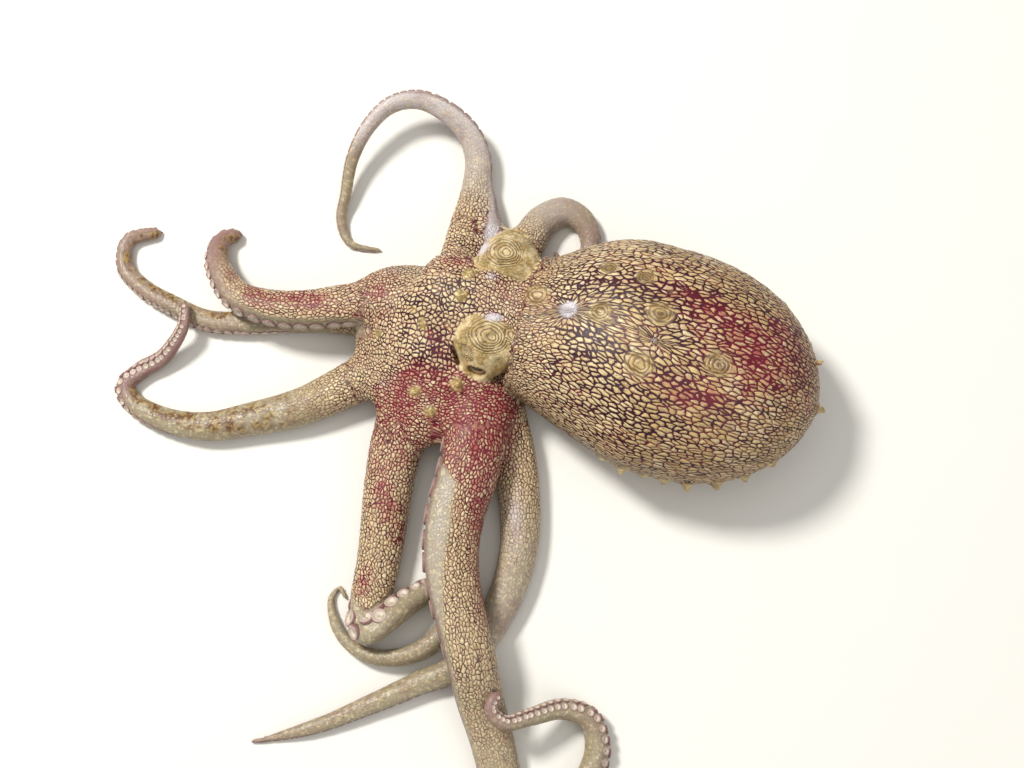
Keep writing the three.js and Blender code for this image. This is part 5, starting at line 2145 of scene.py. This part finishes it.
@dataclass
class Suckers:
    """The two rows of cups along one arm.

    The second row starts `shift` later than the first. Both end `tip` before the arm does, and
    stand `turn` round from the middle of its sucker side. A cup's radius is `share` of the arm's
    half width, and more from `bigger` to `smaller`; the cups follow each other by `pitch` radii.
    No cup's middle lies under `lowest`, and none of its points under `floor`.
    """

    place: Place
    line: ArmLine
    sides: int = 12
    first_at: float = 9.0
    shift: float = 1.6
    tip: float = 0.6
    share: float = 0.34
    bigger: Pair = (0.4, 0.45)
    smaller: Pair = (0.54, 0.6)
    turn: float = math.radians(27.0)
    stand: float = 0.1
    pitch: float = 2.12
    lowest: float = -0.6
    floor: float = 0.03

    def build(self) -> bpy.types.Object:
        """Makes the arm's suckers as one piece.

        Returns:
            The piece, without its material.
        """
        cup, faces, out = self._cup()
        points, rings, outs = [], [], []
        for centre, way, along, radius in self._places():
            before = len(cup) * len(points)
            side = np.cross(way, along)
            moved = cup[:, :1] * along + cup[:, 1:2] * side + cup[:, 2:] * way
            moved = centre + moved * radius
            moved[:, 2] = np.maximum(moved[:, 2], self.floor)
            points.append(moved)
            rings.extend([[i + before for i in face] for face in faces])
            outs.append(out)
        name = f"suckers_{self.line.arm.name}"
        piece = mesh_object(name, self.place.metres(np.vstack(points)), rings)
        write_attribute(piece, "out", np.concatenate(outs))
        only(piece)
        bpy.ops.object.shade_smooth()
        return piece

    def dress(self, piece: bpy.types.Object, material: bpy.types.Material) -> None:
        """Gives the suckers their material and their place in the model."""
        piece.data.materials.append(material)
        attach(piece, BODY)

    def _cup(self) -> tuple[Array, list[list[int]], Array]:
        """A cup of radius 1 that faces +Z: its points, faces, and how far out each point is."""
        points, out = [], []
        for radius, high in CUP_RINGS:
            for k in range(self.sides):
                angle = 2 * math.pi * k / self.sides
                points.append((radius * math.cos(angle), radius * math.sin(angle), high))
                out.append(radius)
        faces = []
        for ring in range(len(CUP_RINGS) - 1):
            for k in range(self.sides):
                a, b = ring * self.sides + k, ring * self.sides + (k + 1) % self.sides
                faces.append([a, b, b + self.sides, a + self.sides])
        last = (len(CUP_RINGS) - 1) * self.sides
        faces.append([last + k for k in range(self.sides)])
        faces.append([k for k in reversed(range(self.sides))])
        return np.array(points), faces, np.array(out)

    def _places(self) -> list[tuple[Array, Array, Array, float]]:
        """Centre, outward way, way along the arm and radius of each sucker."""
        line, found = self.line, []
        for row in (0, 1):
            at = self.first_at + row * self.shift
            turn = self.turn * (1 if row else -1)
            while at < line.length - self.tip:
                k = int(round(at / line.length * (len(line.points) - 1)))
                radius = self._share_at(at / line.length) * line.half_width[k]
                way = -line.back[k] * math.cos(turn) + line.right[k] * math.sin(turn)
                a, b = float(way @ line.side[k]), float(way @ line.up[k])
                reach = float(line.radial(np.array([k]), np.array([a]), np.array([b]))[0])
                centre = line.points[k] + way * (reach + self.stand * radius)
                if centre[2] > self.lowest:
                    found.append((centre, way, line.tangent[k], radius))
                at += self.pitch * radius
        return found

    def _share_at(self, along: float) -> float:
        """Radius of a cup some share along the arm, as a share of the arm's half width."""
        biggest = self.line.arm.big_cups * smooth_step(along, *self.bigger)
        return self.share + biggest * (1 - smooth_step(along, *self.smaller))


@dataclass
class Eye:
    """One eyeball, set deep behind its lids."""

    place: Place
    side: Side
    segments: int = 48
    rings: int = 32

    def build(self) -> bpy.types.Object:
        """Makes the eyeball.

        Returns:
            The piece, without its material.
        """
        centre, gaze = EYE.centre(self.side), EYE.gaze(self.side)
        level = unit(np.cross(UP, gaze))
        over = np.cross(gaze, level)
        bpy.ops.object.select_all(action="DESELECT")
        bpy.ops.mesh.primitive_uv_sphere_add(
            segments=self.segments, ring_count=self.rings, radius=EYE.radius * MM
        )
        piece = bpy.context.object
        piece.name = f"eyeball_{self.side.value}"
        piece.data.name = piece.name
        turn = Matrix(np.stack([level, over, gaze], axis=1).tolist()).to_4x4()
        own = np.array([v.co[:] for v in piece.data.vertices]) / (EYE.radius * MM)
        write_attribute(piece, "gaze", own)
        shift = Matrix.Translation(Vector(self.place.metres(centre[None])[0].tolist()))
        piece.data.transform(shift @ turn)
        bpy.ops.object.shade_smooth()
        return piece

    def dress(self, piece: bpy.types.Object, material: bpy.types.Material) -> None:
        """Gives the eyeball its material and its place in the model."""
        piece.data.materials.append(material)
        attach(piece, BODY)
        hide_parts(f"eye_{self.side.value}")


class Lamp(NamedTuple):
    """A round lamp that faces the middle of the floor; lengths are in metres."""

    name: str
    at: Point
    size: float
    power: float


@dataclass(frozen=True)
class Studio:
    """The floor, the lights and the camera.

    The camera's place and lens are in millimetres; its clip, the floor and the lamps in metres.
    """

    place: Place
    look_at: Point = (8.0, 17.0, 12.0)
    elevation: float = math.radians(78.0)
    distance: float = 285.0
    lens: float = 50.0
    sensor: float = 36.0
    clip: Pair = (0.01, 10.0)
    floor_size: float = 6.0
    lamps: tuple[Lamp, ...] = (
        Lamp("main", (-0.36, 0.30, 0.62), 0.16, 6.6),
        Lamp("fill", (0.55, -0.45, 0.55), 0.6, 1.9),
        Lamp("top", (0.0, 0.0, 0.9), 0.9, 2.2),
    )
    sky: Colour = (0.9, 0.93, 1.0)
    sky_strength: float = 0.3

    def camera(self) -> None:
        """Puts the camera where it looks steeply down on the animal from its left side."""
        data = bpy.data.cameras.new("camera")
        data.lens, data.sensor_width = self.lens, self.sensor
        data.clip_start, data.clip_end = self.clip
        made = bpy.data.objects.new("camera", data)
        bpy.context.collection.objects.link(made)
        target = Vector(self.place.metres(np.array([self.look_at]))[0].tolist())
        back = Vector((0.0, -math.cos(self.elevation), math.sin(self.elevation)))
        made.location = target + back * self.distance * MM
        made.rotation_euler = back.to_track_quat("Z", "Y").to_euler()
        bpy.context.scene.camera = made

    def floor(self) -> None:
        """Lays the plain pale floor."""
        bpy.ops.object.select_all(action="DESELECT")
        bpy.ops.mesh.primitive_plane_add(size=self.floor_size, location=(0.0, 0.0, 0.0))
        made = bpy.context.object
        made.name = "studio_floor"
        made.data.materials.append(FloorFinish().make())

    def lights(self) -> None:
        """Hangs the lamps and sets the light from all round."""
        for lamp in self.lamps:
            data = bpy.data.lights.new(lamp.name, "AREA")
            data.shape, data.size, data.energy = "DISK", lamp.size, lamp.power
            made = bpy.data.objects.new(lamp.name, data)
            bpy.context.collection.objects.link(made)
            made.location = lamp.at
            made.rotation_euler = Vector(lamp.at).to_track_quat("Z", "Y").to_euler()
        world = bpy.data.worlds.new("studio")
        bpy.context.scene.world = world
        world.use_nodes = True
        back = next(n for n in world.node_tree.nodes if n.type == "BACKGROUND")
        back.inputs["Color"].default_value = (*self.sky, 1.0)
        back.inputs["Strength"].default_value = self.sky_strength


def main() -> None:
    """Builds the octopus and its studio."""
    logging.basicConfig(level=logging.INFO, format="%(name)s: %(message)s")
    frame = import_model()
    bpy.context.scene.view_settings.view_transform = "Standard"
    place = Place.fitted()
    studio = Studio(place)
    studio.camera()
    studio.floor()
    studio.lights()

    flesh = tuple(name for name in frame["nodes"] if not name.startswith("eye_"))
    skin = Skin(place, flesh)
    piece = skin.build()
    skin.dress(piece)
    log.info("built %s", piece.name)

    cups = SuckerFinish().make()
    for line in skin.lines:
        row = Suckers(place, line)
        piece = row.build()
        row.dress(piece, cups)
        log.info("built %s with %d faces", piece.name, len(piece.data.polygons))

    gloss = EyeFinish().make()
    for side in Side:
        eye = Eye(place, side)
        piece = eye.build()
        eye.dress(piece, gloss)
        log.info("built %s", piece.name)


if __name__ == "__main__":
    main()
